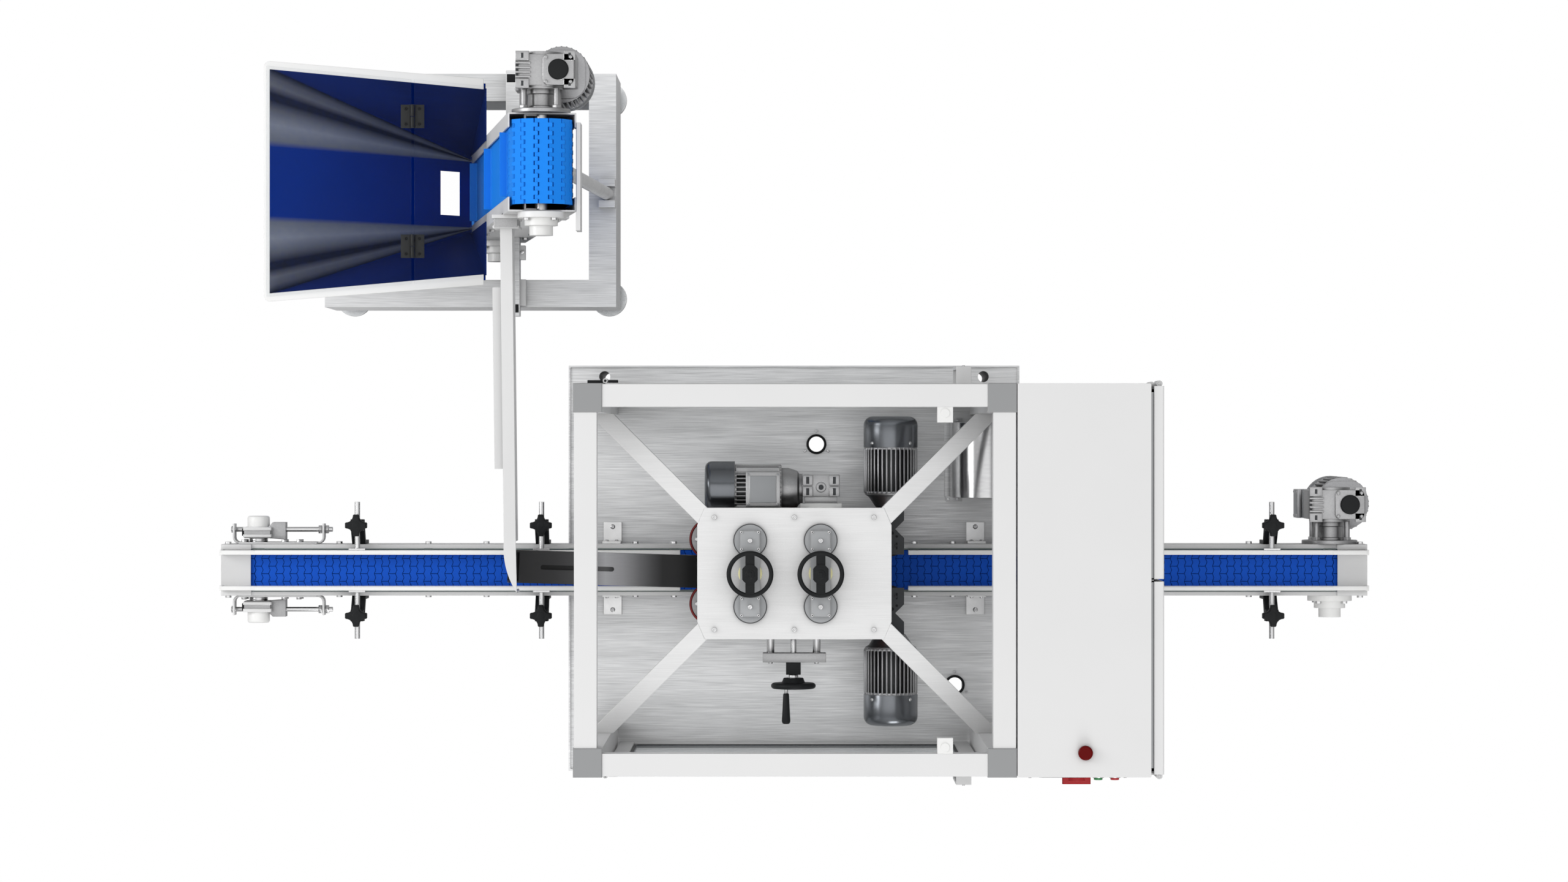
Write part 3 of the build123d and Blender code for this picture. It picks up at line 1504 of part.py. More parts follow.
def cap_track():
    # A low channel with floor, side bars and slotted cover, pitched and turned towards the discs.
    place, length = track_place()
    half = track_width / 2
    solid = block((0, length), (-half, half), (-track_height, 0))
    inner = half - track_sheet
    solid -= block((-1, length + 1), (-inner, inner), (-track_height + track_sheet, -track_sheet))
    solid -= block((-1, track_entry), (-inner, inner), (-2 * track_sheet, 1))
    slot_middle = track_slot_start + track_slot_length / 2
    slot = Pos(slot_middle, 0, 0) * SlotOverall(track_slot_length, track_slot_width)
    solid -= Pos(0, 0, -2 * track_sheet) * extrude(slot, 3 * track_sheet)
    return place * solid


def cap_track_hanger():
    # The lug that carries the low end of the track under the carriage.
    half = hanger_width / 2
    x = (carriage_left, carriage_left + hanger_sheet)
    lug = block(x, (-half, half), (track_right_top - track_height / 2, carriage_bottom + 1))
    place, length = track_place()
    return lug - place * block((0, 2 * length), (-track_width, track_width), (-2 * track_height, 0))


nodes = {
    "base_tray": base_tray(),
    "base_frame": base_frame(),
    "levelling_feet": levelling_feet(),
    "frame_posts": frame_posts(),
    "post_caps": post_caps(),
    "top_rails": top_rails(),
    "brace_arms": brace_arms(),
    "head_plate": head_plate(),
    "height_bridges": height_bridges(),
    "handwheel_left": handwheel(height_unit_places[0]),
    "handwheel_right": handwheel(height_unit_places[1]),
    "head_carriage": head_carriage(),
    "capping_disc_back": capping_disc(disc_first, disc_offset, adjuster_z - running_gap),
    "capping_disc_front": capping_disc(disc_first, -disc_offset, adjuster_z - running_gap),
    "hidden_discs": fixed_discs(),
    "spindle_gearmotor": spindle_gearmotor(),
    "width_adjuster": width_adjuster(),
    "adjuster_wheel": adjuster_wheel(),
    "side_units": side_units(),
    "side_belts": side_belts(),
    "side_motors": side_motors(),
    "front_door": door(-1),
    "front_door_pane": door_pane(-1),
    "back_door": door(1),
    "back_door_pane": door_pane(1),
    "door_hinges": door_hinges(),
    "interlock_blocks": interlock_blocks(),
    "control_cabinet": control_cabinet(),
    "cabinet_door_front": cabinet_door(-1),
    "cabinet_door_back": cabinet_door(1),
    "operator_panel": operator_panel(),
    "isolator_knob": isolator_knob(),
    "beacon": beacon(),
    "cable_duct": cable_duct(),
    "conveyor_sides": conveyor_sides(),
    "conveyor_belt": conveyor_belt(),
    "conveyor_bed": conveyor_bed(),
    "roller_shafts": roller_shafts(),
    "end_covers": end_covers(),
    "guide_rails": guide_rails(),
    "guide_brackets": guide_brackets(),
    "guide_rods": guide_rods(),
    "takeups": takeups(),
    "shaft_bearings": shaft_bearings(),
    "gearboxes": gearboxes(),
    "gear_motors": gear_motors(),
    "conveyor_feet": conveyor_feet(),
    "elevator_base": elevator_base(),
    "elevator_sides": elevator_sides(),
    "elevator_belt": elevator_belt(),
    "elevator_struts": elevator_struts(),
    "guard_plate": guard_plate(),
    "hopper": hopper(),
    "lid_fixed": lid_fixed(),
    "lid_leaf": lid_leaf(),
    "cap_outlet": cap_outlet(),
    "cap_chute": cap_chute(),
    "chute_support": chute_support(),
    "cap_track": cap_track(),
}

# The footprint's centre goes to x = 0, y = 0.
shapes = {}
for name, shape in nodes.items():
    pieces = shape if isinstance(shape, list) else [shape]
    solids = [solid for piece in pieces for solid in piece.solids()]
    shapes[name] = solids[0] if len(solids) == 1 else Compound(solids)
extent = Compound(list(shapes.values())).bounding_box()
centre_x = (extent.min.X + extent.max.X) / 2
centre_y = (extent.min.Y + extent.max.Y) / 2
for name, shape in shapes.items():
    export_step(Pos(-centre_x, -centre_y, 0) * shape, f"parts/{name}.step")
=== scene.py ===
import json
import math
from types import SimpleNamespace

import bmesh
import bpy
from mathutils import Matrix, Vector


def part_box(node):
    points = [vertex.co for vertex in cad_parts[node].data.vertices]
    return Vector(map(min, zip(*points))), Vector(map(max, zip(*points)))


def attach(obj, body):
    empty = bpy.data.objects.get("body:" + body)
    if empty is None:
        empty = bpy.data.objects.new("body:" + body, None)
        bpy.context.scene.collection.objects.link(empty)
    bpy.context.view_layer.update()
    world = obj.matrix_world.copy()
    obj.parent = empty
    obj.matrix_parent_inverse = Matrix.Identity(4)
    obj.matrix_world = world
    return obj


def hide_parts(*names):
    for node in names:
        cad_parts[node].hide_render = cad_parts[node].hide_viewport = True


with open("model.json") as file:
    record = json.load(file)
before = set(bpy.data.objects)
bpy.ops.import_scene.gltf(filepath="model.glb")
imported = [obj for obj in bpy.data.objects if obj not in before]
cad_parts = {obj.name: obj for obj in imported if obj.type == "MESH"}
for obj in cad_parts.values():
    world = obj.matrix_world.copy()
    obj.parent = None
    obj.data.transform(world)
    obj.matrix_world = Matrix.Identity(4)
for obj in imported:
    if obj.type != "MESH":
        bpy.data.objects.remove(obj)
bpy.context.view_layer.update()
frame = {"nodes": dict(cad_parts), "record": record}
nodes = frame["nodes"]
scene = bpy.context.scene

# Everything below is drawn in millimetres from the middle of the capping head, as seen in plan.
postLow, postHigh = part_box("frame_posts")
headMiddle = Vector(((postLow.x + postHigh.x) / 2, (postLow.y + postHigh.y) / 2, 0))
toFrame = Matrix.Translation(headMiddle) @ Matrix.Scale(0.001, 4)
print("stage: frame loaded,", len(nodes), "nodes")


# Node trees

def asColour(tone):
    # Red, green, blue and alpha from three shares, or from one for a grey.
    return (*tone, 1) if isinstance(tone, tuple) else (tone, tone, tone, 1)


def feed(tree, socket, value):
    # Links another node's output to a socket, or sets the socket's own value.
    if isinstance(value, bpy.types.NodeSocket):
        tree.links.new(value, socket)
    elif socket.type == "RGBA":
        socket.default_value = asColour(value)
    else:
        socket.default_value = value


def addNode(tree, kind, **values):
    # A node with its settings, given as set_..., and its sockets, with _ for a space.
    node = tree.nodes.new(kind)
    for label, value in values.items():
        if label.startswith("set_"):
            setattr(node, label[4:], value)
        else:
            feed(tree, node.inputs[label.replace("_", " ")], value)
    return node


def fill(tree, node, values):
    # Feeds a node's sockets in their order.
    for socket, value in zip(node.inputs, values):
        feed(tree, socket, value)
    return node.outputs


def addMath(tree, operation, *values, clamp=False):
    node = addNode(tree, "ShaderNodeMath", set_operation=operation, set_use_clamp=clamp)
    return fill(tree, node, values)[0]


def addVector(tree, operation, *values):
    return fill(tree, addNode(tree, "ShaderNodeVectorMath", set_operation=operation), values)


def newGroup(name, kind, inputs, outputs):
    # A group with its named inputs and outputs. Gives the tree and what comes in.
    tree = bpy.data.node_groups.new(name, kind)
    for label, socketKind, value in inputs:
        socket = tree.interface.new_socket(label, in_out="INPUT", socket_type="NodeSocket" + socketKind)
        if value is not None:
            socket.default_value = value
    for label, socketKind in outputs:
        tree.interface.new_socket(label, in_out="OUTPUT", socket_type="NodeSocket" + socketKind)
    return tree, tree.nodes.new("NodeGroupInput").outputs


def closeGroup(tree, *results):
    fill(tree, tree.nodes.new("NodeGroupOutput"), results)
    return tree


# Shader groups

surface = {
    "edgeRadius": 0.0016, "edgeStrength": 3.0, "shadeReach": 0.16, "samples": 4, "slowScale": (6, 6, 6),
}


def addNoise(tree, stretch, detail):
    # Noise on the object's own coordinates, with its own scale along each axis.
    where = tree.nodes.new("ShaderNodeTexCoord").outputs["Object"]
    stretched = addVector(tree, "MULTIPLY", where, stretch)["Vector"]
    return addNode(tree, "ShaderNodeTexNoise", Vector=stretched, Scale=1, Detail=detail).outputs["Fac"]


def makeGrain():
    # Long fine scratches: a value for colour and roughness, and a height for bump.
    tree, given = newGroup(
        "brushedGrain", "ShaderNodeTree", [("Stretch", "Vector", (14, 700, 700)), ("Contrast", "Float", 1.0)],
        [("Value", "Float"), ("Height", "Float")],
    )
    fine = addNoise(tree, given["Stretch"], 4)
    coarse = addNoise(tree, (3, 40, 40), 2)
    parts = addMath(tree, "MULTIPLY", fine, 0.75), addMath(tree, "MULTIPLY", coarse, 0.25)
    mixed = addMath(tree, "ADD", *parts)
    centred = addMath(tree, "MULTIPLY", addMath(tree, "SUBTRACT", mixed, 0.5), given["Contrast"])
    return closeGroup(tree, addMath(tree, "ADD", centred, 0.5, clamp=True), fine)


def makePeel(values):
    # The fine pebbling of a baked coat or a moulded part, with a slow drift of tone.
    tree, given = newGroup(
        "finePeel", "ShaderNodeTree", [("Density", "Float", 900.0)], [("Height", "Float"), ("Tone", "Float")],
    )
    density = given["Density"]
    each = addNode(tree, "ShaderNodeCombineXYZ", X=density, Y=density, Z=density).outputs[0]
    return closeGroup(tree, addNoise(tree, each, 1), addNoise(tree, values["slowScale"], 2))


def makeEdge(values):
    # A rounded normal and a mask that is strong along outer edges, which the materials use for a painted
    # highlight along those edges.
    tree, given = newGroup(
        "softEdge", "ShaderNodeTree", [("Strength", "Float", values["edgeStrength"])],
        [("Normal", "Vector"), ("Mask", "Float")],
    )
    bevel = addNode(tree, "ShaderNodeBevel", set_samples=values["samples"], Radius=values["edgeRadius"])
    rounded = bevel.outputs[0]
    normal = tree.nodes.new("ShaderNodeNewGeometry").outputs["Normal"]
    away = addMath(tree, "SUBTRACT", 1.0, addVector(tree, "DOT_PRODUCT", rounded, normal)["Value"])
    return closeGroup(tree, rounded, addMath(tree, "MULTIPLY", away, given["Strength"], clamp=True))


def makeShade(values):
    # How closed in a place is: 0 on a free face, more in corners and beside other parts. It sets how much
    # painted shade darkens the colour there.
    tree, given = newGroup("cornerShade", "ShaderNodeTree", [("Depth", "Float", 0.5)], [("Value", "Float")])
    near = addNode(
        tree, "ShaderNodeAmbientOcclusion", set_samples=values["samples"], Distance=values["shadeReach"],
    )
    closed = addMath(tree, "SUBTRACT", 1.0, near.outputs["AO"])
    return closeGroup(tree, addMath(tree, "MULTIPLY", closed, given["Depth"]))


shadeGroup = makeShade(surface)
grainGroup = makeGrain()
peelGroup = makePeel(surface)
edgeGroup = makeEdge(surface)


# Materials

coating = {"drift": 0.05, "gloss": 0.06, "relief": 0.0002}
# The edge tone of rolled metal is its painted highlight along outer edges.
rolling = {"edge": 0.93, "duller": 0.1, "shinier": 0.08, "relief": 0.0003}
# The tone that painted shade darkens closed-in places towards.
paintedShadeTone = 0.02


def useGroup(tree, group, **values):
    return addNode(tree, "ShaderNodeGroup", set_node_tree=group, **values).outputs


def blendColour(tree, factor, first, second):
    node = addNode(tree, "ShaderNodeMix", set_data_type="RGBA")
    for place, value in ((0, factor), (6, first), (7, second)):
        feed(tree, node.inputs[place], value)
    return node.outputs[2]


def spread(tree, value, low, high):
    # Spreads a value from 0 to 1 over another range.
    return addNode(tree, "ShaderNodeMapRange", Value=value, To_Min=low, To_Max=high).outputs["Result"]


def blank(name, roughness, metallic=0.0, specular=0.5, coat=0.0):
    material = bpy.data.materials.new(name)
    material.use_nodes = True
    shader = material.node_tree.nodes["Principled BSDF"]
    shader.inputs["Roughness"].default_value = roughness
    shader.inputs["Metallic"].default_value = metallic
    shader.inputs["Specular IOR Level"].default_value = specular
    shader.inputs["Coat Weight"].default_value = coat
    return material, material.node_tree, shader


def relief(tree, shader, height, strength, distance):
    # Fine relief over softened edges. Gives back the mask of the outer edges, which carries the painted edge
    # highlight.
    rim = useGroup(tree, edgeGroup)
    node = addNode(
        tree, "ShaderNodeBump", Strength=strength, Distance=distance, Height=height, Normal=rim["Normal"],
    )
    feed(tree, shader.inputs["Normal"], node.outputs[0])
    return rim["Mask"]


def shaded(tree, colour, depth):
    # The colour with painted shade: darker where the part is closed in, in corners and beside other parts.
    if not depth:
        return colour
    return blendColour(tree, useGroup(tree, shadeGroup, Depth=depth)["Value"], colour, paintedShadeTone)


def coated(name, colour, edge, roughness=0.42, density=900.0, peel=0.12, coat=0.0, specular=0.5, depth=0.0):
    # Paint, powder coat or moulded plastic.
    material, tree, shader = blank(name, roughness, 0.0, specular, coat)
    fine = useGroup(tree, peelGroup, Density=density)
    darker = tuple(channel * (1 - coating["drift"]) for channel in asColour(colour)[:3])
    body = blendColour(tree, fine["Tone"], darker, colour)
    edges = relief(tree, shader, fine["Height"], peel, coating["relief"])
    # The second colour is a painted highlight along the outer edges, and depth adds painted shade where the
    # part is closed in.
    feed(tree, shader.inputs["Base Color"], shaded(tree, blendColour(tree, edges, body, edge), depth))
    gloss = spread(tree, fine["Tone"], roughness - coating["gloss"], roughness + coating["gloss"])
    feed(tree, shader.inputs["Roughness"], gloss)
    return material


def brushed(
    name, dark, light, roughness=0.34, stretch=(14, 700, 700), contrast=1.6, scratch=0.06, metallic=1.0,
    depth=0.0,
):
    # Rolled or brushed metal with its grain along one axis.
    material, tree, shader = blank(name, roughness, metallic)
    grain = useGroup(tree, grainGroup, Stretch=stretch, Contrast=contrast)
    body = blendColour(tree, grain["Value"], dark, light)
    edges = relief(tree, shader, grain["Height"], scratch, rolling["relief"])
    # The outer edges get a painted highlight here, and depth then adds painted shade where the part is closed
    # in.
    edgeLit = blendColour(tree, edges, body, rolling["edge"])
    feed(tree, shader.inputs["Base Color"], shaded(tree, edgeLit, depth))
    gloss = spread(tree, grain["Value"], roughness + rolling["duller"], roughness - rolling["shinier"])
    feed(tree, shader.inputs["Roughness"], gloss)
    return material


clearPane = {
    "tint": (0.4, 0.5, 0.55), "pale": (0.7, 0.75, 0.78), "blend": 0.35, "facing": 0.004, "aside": 0.45,
}


def clearSheet(name, values):
    # A clear pane that shows more of itself when it is seen from the side.
    material, tree, shader = blank(name, 0.05, specular=0.3)
    tone = useGroup(tree, peelGroup, Density=60.0)["Tone"]
    feed(tree, shader.inputs["Base Color"], blendColour(tree, tone, values["tint"], values["pale"]))
    facing = addNode(tree, "ShaderNodeLayerWeight", Blend=values["blend"]).outputs["Facing"]
    feed(tree, shader.inputs["Alpha"], spread(tree, facing, values["facing"], values["aside"]))
    return material


# Places on the hopper and the track are in metres here, as the nodes read them.
# The navy, deep and bare tones are the sheet's own colours. The fan's grey stops are painted reflection, and
# its black stops and darker navy end are painted shade.
hopperLiningAndPaintedLight = {
    "startX": -0.7108, "middleY": 0.4793, "strip": 0.072, "navy": (0.0, 0.044, 0.36),
    "deep": (0.0, 0.012, 0.1), "bare": ((0.42, 0.42, 0.43), (0.62, 0.62, 0.63)),
    "fan": (
        (0.0, (0.0, 0.036, 0.33)), (0.035, (0.22, 0.24, 0.27)), (0.12, (0.34, 0.37, 0.42)),
        (0.2, (0.16, 0.17, 0.19)), (0.25, (0.015, 0.016, 0.022)), (0.285, (0.015, 0.016, 0.022)),
        (0.33, (0.2, 0.21, 0.23)), (0.37, (0.15, 0.16, 0.18)), (0.41, (0.01, 0.012, 0.02)),
        (0.42, (0.0, 0.02, 0.2)), (1.0, (0.0, 0.014, 0.13)),
    ),
}
# A painted reflection along the dark polished sheet: dark at both ends, with a bright band between.
trackPaintedReflection = (
    (-0.60, 0.016), (-0.50, 0.03), (-0.455, 0.055), (-0.435, 0.03), (-0.425, 0.2), (-0.395, 0.36),
    (-0.36, 0.26), (-0.325, 0.12), (-0.3, 0.05), (-0.28, 0.012),
)


def addRamp(tree, value, stops):
    node = addNode(tree, "ShaderNodeValToRGB")
    elements = node.color_ramp.elements
    for element, (position, tone) in zip(elements, (stops[0], stops[-1])):
        element.position = position
        element.color = asColour(tone)
    for position, tone in stops[1:-1]:
        elements.new(position).color = asColour(tone)
    feed(tree, node.inputs[0], value)
    return node.outputs[0]


def splitPlace(tree, source="Object"):
    # X, Y and Z of a texture coordinate: a place on the object, its face's aim or the sky's direction.
    where = tree.nodes.new("ShaderNodeTexCoord").outputs[source]
    return addNode(tree, "ShaderNodeSeparateXYZ", Vector=where).outputs


def hopperSheet(name, values):
    # Navy lining inside, darker along its grain, with bands that spread from the hopper's foot: grey bands of
    # painted reflection and black bands of painted shade along the creases, and the side walls painted darker
    # as shade. Bare steel outside.
    tones = SimpleNamespace(**values)
    material, tree, shader = blank(name, 0.42, specular=0.03)
    grain = useGroup(tree, grainGroup, Stretch=(10, 90, 90), Contrast=1.0)
    where = splitPlace(tree)
    run = addMath(tree, "MAXIMUM", addMath(tree, "SUBTRACT", tones.startX, where["X"]), 0.01)
    aside = addMath(tree, "ABSOLUTE", addMath(tree, "SUBTRACT", where["Y"], tones.middleY))
    fan = addMath(tree, "DIVIDE", addMath(tree, "SUBTRACT", aside, tones.strip), run)
    sheet = blendColour(tree, grain["Value"], tones.deep, tones.navy)
    soft = addMath(tree, "MULTIPLY", grain["Value"], 0.3)
    # The ramp over the fan paints reflection in its grey stops and shade in its black stops and its darker
    # navy end.
    inside = blendColour(tree, soft, addRamp(tree, fan, tones.fan), sheet)
    bare = blendColour(tree, grain["Value"], *tones.bare)
    inner = addMath(tree, "GREATER_THAN", splitPlace(tree, "Normal")["Z"], 0.02)
    feed(tree, shader.inputs["Base Color"], blendColour(tree, inner, bare, inside))
    relief(tree, shader, grain["Height"], 0.05, rolling["relief"])
    return material


def trackSheet(name, stops):
    # Dark polished sheet whose colour along its length is a painted reflection: dark at both ends, with a
    # bright band between.
    material, tree, shader = blank(name, 0.32, specular=0.2)
    grain = useGroup(tree, grainGroup, Stretch=(8, 260, 260), Contrast=0.8)
    first, last = stops[0][0], stops[-1][0]
    reach = addNode(tree, "ShaderNodeMapRange", Value=splitPlace(tree)["X"], From_Min=first, From_Max=last)
    tones = [((x - first) / (last - first), (tone, tone, tone * 1.04)) for x, tone in stops]
    along = addRamp(tree, reach.outputs["Result"], tones)
    soft = addMath(tree, "MULTIPLY", grain["Value"], 0.2)
    feed(tree, shader.inputs["Base Color"], blendColour(tree, soft, along, (0.02, 0.02, 0.021)))
    relief(tree, shader, grain["Height"], 0.05, rolling["relief"])
    return material


# A coated finish's second colour is a painted highlight along its outer edges. Depth, where given, is painted
# shade in closed-in places.
finishes = {
    "brushed_stainless": brushed(
        "brushedStainless", (0.58, 0.585, 0.59), (0.94, 0.945, 0.95), 0.36, contrast=2.4, metallic=0.35,
        depth=0.48,
    ),
    "light_stainless": brushed("lightStainless", 0.66, 0.82, 0.36, contrast=1.0, metallic=0.6, depth=0.7),
    "stainless_tube": brushed("satinTube", 0.62, 0.82, 0.3, (60, 60, 8), 1.0),
    "foot_steel": brushed("footSteel", (0.5, 0.52, 0.53), (0.8, 0.81, 0.82), 0.25, (90, 90, 90), 1.0),
    "machined_grey": brushed("machinedGrey", (0.34, 0.34, 0.35), 0.5, 0.4, (300, 300, 300), 0.8, depth=0.3),
    "motor_grey": brushed(
        "castMotor", (0.3, 0.3, 0.31), (0.5, 0.5, 0.51), 0.36, (420, 420, 420), 0.8, 0.3, depth=0.4,
    ),
    "cast_grey": brushed("castGrey", (0.33, 0.33, 0.34), 0.52, 0.38, (380, 380, 380), 0.8, 0.3, depth=0.5),
    "bright_rod": brushed("brightRod", (0.6, 0.6, 0.61), 0.8, 0.2, (60, 60, 60), 0.6, depth=0.3),
    "polished_sheet": brushed("polishedSheet", (0.42, 0.42, 0.43), 0.66, 0.18, (8, 160, 160), 0.8),
    "motor_cover": brushed(
        "motorCover", (0.14, 0.148, 0.16), (0.2, 0.21, 0.225), 0.24, (60, 60, 60), 0.3, 0.03,
    ),
    "white_frame": coated("whiteCoat", 0.765, 0.88, depth=0.4),
    "white_plastic": coated("whitePlastic", (0.84, 0.84, 0.83), 0.92, 0.35),
    "cover_grey": coated("coverGrey", 0.66, 0.75, 0.4),
    "panel_grey": coated("panelGrey", (0.42, 0.43, 0.44), 0.6, 0.45),
    "bridge_grey": coated("bridgeGrey", (0.42, 0.43, 0.44), 0.55, specular=0.3, depth=0.2),
    "grey_cap": coated("greyCap", (0.3, 0.305, 0.31), 0.4, 0.5),
    "motor_box": coated("motorBox", (0.3, 0.31, 0.32), 0.45, 0.4, 700.0, 0.3),
    "dark_grey": coated("darkCoat", (0.05, 0.053, 0.057), 0.14, 0.4, specular=0.25),
    "hinge_grey": coated("hingeGrey", (0.022, 0.023, 0.023), 0.06, 0.45, specular=0.2),
    "belt_black": coated("blackBelt", 0.02, 0.04, 0.6, 1200.0, 0.4, specular=0.15),
    "black_plastic": coated("blackPlastic", (0.012, 0.013, 0.014), 0.03, 0.45, 1500.0, 0.3, specular=0.16),
    "screen_glass": coated("screenGlass", (0.01, 0.012, 0.016), (0.02, 0.02, 0.03), 0.08, coat=0.6),
    "disc_rubber": coated(
        "discRubber", (0.13, 0.02, 0.02), (0.2, 0.05, 0.05), 0.6, 1800.0, 0.3, specular=0.2,
    ),
    "rim_red": coated("rimRed", (0.3, 0.02, 0.02), (0.4, 0.05, 0.05), 0.5),
    "signal_red": coated("signalRed", (0.46, 0.025, 0.03), (0.55, 0.08, 0.08), 0.4, specular=0.25),
    "lamp_red": coated("lampRed", (0.12, 0.0, 0.0), (0.3, 0.01, 0.01), 0.3, specular=0.1),
    "belt_core": coated("beltCore", (0.002, 0.02, 0.17), (0.002, 0.02, 0.17), 0.7, 900.0, 0.2, specular=0.1),
    "belt_blue": coated(
        "beltBlue", (0.004, 0.095, 0.6), (0.01, 0.12, 0.68), 0.55, 1400.0, 0.25, specular=0.1, depth=0.3,
    ),
    "belt_bright_blue": coated(
        "beltBrightBlue", (0.012, 0.26, 0.95), (0.02, 0.3, 1.0), 0.5, 1400.0, 0.25, specular=0.1, depth=0.25,
    ),
    "pale_disc": coated("paleDisc", (0.98, 0.92, 0.5), (0.98, 0.95, 0.6), 0.4),
    "strip_green": coated("stripGreen", (0.3, 0.36, 0.33), (0.4, 0.45, 0.42), 0.4),
    "button_green": coated("buttonGreen", (0.01, 0.22, 0.05), (0.05, 0.35, 0.1), 0.3, coat=0.4),
    "clear_pane": clearSheet("clearPane", clearPane),
    "dark_polished": trackSheet("darkPolished", trackPaintedReflection),
    "hopper_sheet": hopperSheet("hopperSheet", hopperLiningAndPaintedLight),
}

slotOf = {entry["node"]: entry["material_slot"] for entry in frame["record"]["subparts"]}
lookOf = {**slotOf, "end_covers": "cover_grey", "height_bridges": "bridge_grey"}
for name, cadObject in nodes.items():
    cadObject.data.materials.clear()
    cadObject.data.materials.append(finishes[lookOf[name]])
print("stage: materials on the frame's nodes")


# Camera, lights and floor

cameraView = {"place": (-21.0, 266.6, 9450.0), "lens": 94.92, "sensor": 36, "farthest": 200}
studio = {
    "lights": {
        "topLight": ((0, 0, 6), 6.0, 39.0), "leftLight": ((-5, 1, 3.5), 2.5, 105.0),
        "frontLight": ((1, -5.5, 3.5), 2.5, 105.0),
    },
    "sky": ((0.0, 0.14), (0.12, 0.4), (0.4, 0.45), (1.0, 1.0)), "skySeen": 0.95,
    "floorHalf": 60.0, "floorTone": 0.5,
}


def putInScene(name, data):
    holder = bpy.data.objects.new(name, data)
    scene.collection.objects.link(holder)
    return holder


def buildCamera(values):
    lens = bpy.data.cameras.new("planView")
    lens.lens = values["lens"]
    lens.sensor_width = values["sensor"]
    lens.clip_end = values["farthest"]
    planView = putInScene("planView", lens)
    planView.location = toFrame @ Vector(values["place"])
    scene.camera = planView


def buildLights(values):
    # Square lamps that look at the origin, each with its place, size and power.
    for name, (position, side, power) in values["lights"].items():
        lamp = bpy.data.lights.new(name, "AREA")
        lamp.shape = "SQUARE"
        lamp.size = side
        lamp.energy = power
        holder = putInScene(name, lamp)
        holder.location = position
        holder.rotation_euler = (-Vector(position)).to_track_quat("-Z", "Y").to_euler()
        holder.visible_camera = False


def showPlain(tree, lighting, seen, output):
    # The camera sees one shader, and the light comes from the other.
    rays = tree.nodes.new("ShaderNodeLightPath").outputs["Is Camera Ray"]
    choose = tree.nodes.new("ShaderNodeMixShader")
    mixed = fill(tree, choose, (rays, lighting.outputs[0], seen.outputs[0]))
    feed(tree, tree.nodes[output].inputs["Surface"], mixed[0])


def buildSky(values):
    world = bpy.data.worlds.new("studio")
    scene.world = world
    world.use_nodes = True
    tree = world.node_tree
    light = tree.nodes["Background"]
    feed(tree, light.inputs["Color"], addRamp(tree, splitPlace(tree, "Generated")["Z"], values["sky"]))
    showPlain(tree, light, addNode(tree, "ShaderNodeBackground", Color=values["skySeen"]), "World Output")


def buildFloor(values):
    # The floor is plain white to the camera and a mid grey to the light that comes off it.
    material, tree, shader = blank("paleFloor", 0.9)
    feed(tree, shader.inputs["Base Color"], values["floorTone"])
    showPlain(tree, shader, addNode(tree, "ShaderNodeEmission"), "Material Output")
    half = values["floorHalf"]
    mesh = bpy.data.meshes.new("floor")
    corners = [(-half, -half, 0), (half, -half, 0), (half, half, 0), (-half, half, 0)]
    mesh.from_pydata(corners, [], [(0, 1, 2, 3)])
    mesh.materials.append(material)
    putInScene("floor", mesh)


buildCamera(cameraView)
buildLights(studio)
buildSky(studio)
buildFloor(studio)
scene.view_settings.view_transform = "Standard"
print("stage: camera, lights and floor")


# Drawing tools, in millimetres

home = Matrix()
mirrorY = Matrix.Diagonal((1, -1, 1, 1))
bothSides = (-1, 1)
fourCorners = [(sx, sy) for sx in bothSides for sy in bothSides]
diagonals = (45, 135, 225, 315)
up = (0, 0, 1)
rounding = {"segments": 2, "from": math.radians(40), "sharp": math.radians(35)}


def turned(axis, angle):
    return Matrix.Rotation(math.radians(angle), 4, axis)


def asPlace(position, axis="Z", angle=0):
    # A place from a point and a turn in degrees.
    return Matrix.Translation(position) @ turned(axis, angle)


def about(middle, half):
    return (middle - half, middle + half)


def inset(span, amount):
    return (span[0] + amount, span[1] - amount)


def onSide(side, span):
    # A stretch in front of the middle or behind it, low end first.
    return sorted(side * edge for edge in span)


def moved(bm, verts, index, matrix):
    # Gives what was just drawn its material and its place.
    for face in {face for vert in verts for face in vert.link_faces}:
        face.material_index = index
    bmesh.ops.transform(bm, matrix=matrix, verts=verts)


def addBox(bm, x, y, z, index=0, matrix=home):
    verts = [bm.verts.new((px, py, pz)) for px in x for py in y for pz in z]
    for corners in ((0, 1, 3, 2), (4, 6, 7, 5), (0, 4, 5, 1), (2, 3, 7, 6), (0, 2, 6, 4), (1, 5, 7, 3)):
        bm.faces.new([verts[corner] for corner in corners])
    moved(bm, verts, index, matrix)


def addRod(bm, start, end, radius, sides=24, index=0, matrix=home, endRadius=None):
    start, end = Vector(start), Vector(end)
    turn = (end - start).to_track_quat("Z", "Y").to_matrix().to_4x4()
    made = bmesh.ops.create_cone(
        bm, cap_ends=True, segments=sides, radius1=radius, radius2=endRadius or radius,
        depth=(end - start).length, matrix=Matrix.Translation((start + end) / 2) @ turn,
    )
    moved(bm, made["verts"], index, matrix)


def addPin(bm, x, y, z, radius, sides=24, index=0, matrix=home):
    # A rod along Z between two heights.
    addRod(bm, (x, y, z[0]), (x, y, z[1]), radius, sides, index, matrix)


def addPrism(bm, outline, low, high, index=0, matrix=home):
    rings = [[bm.verts.new((x, y, z)) for x, y in outline] for z in (low, high)]
    bm.faces.new(rings[0][::-1])
    bm.faces.new(rings[1])
    for step in range(len(outline)):
        after = (step + 1) % len(outline)
        bm.faces.new((rings[0][step], rings[0][after], rings[1][after], rings[1][step]))
    moved(bm, rings[0] + rings[1], index, matrix)


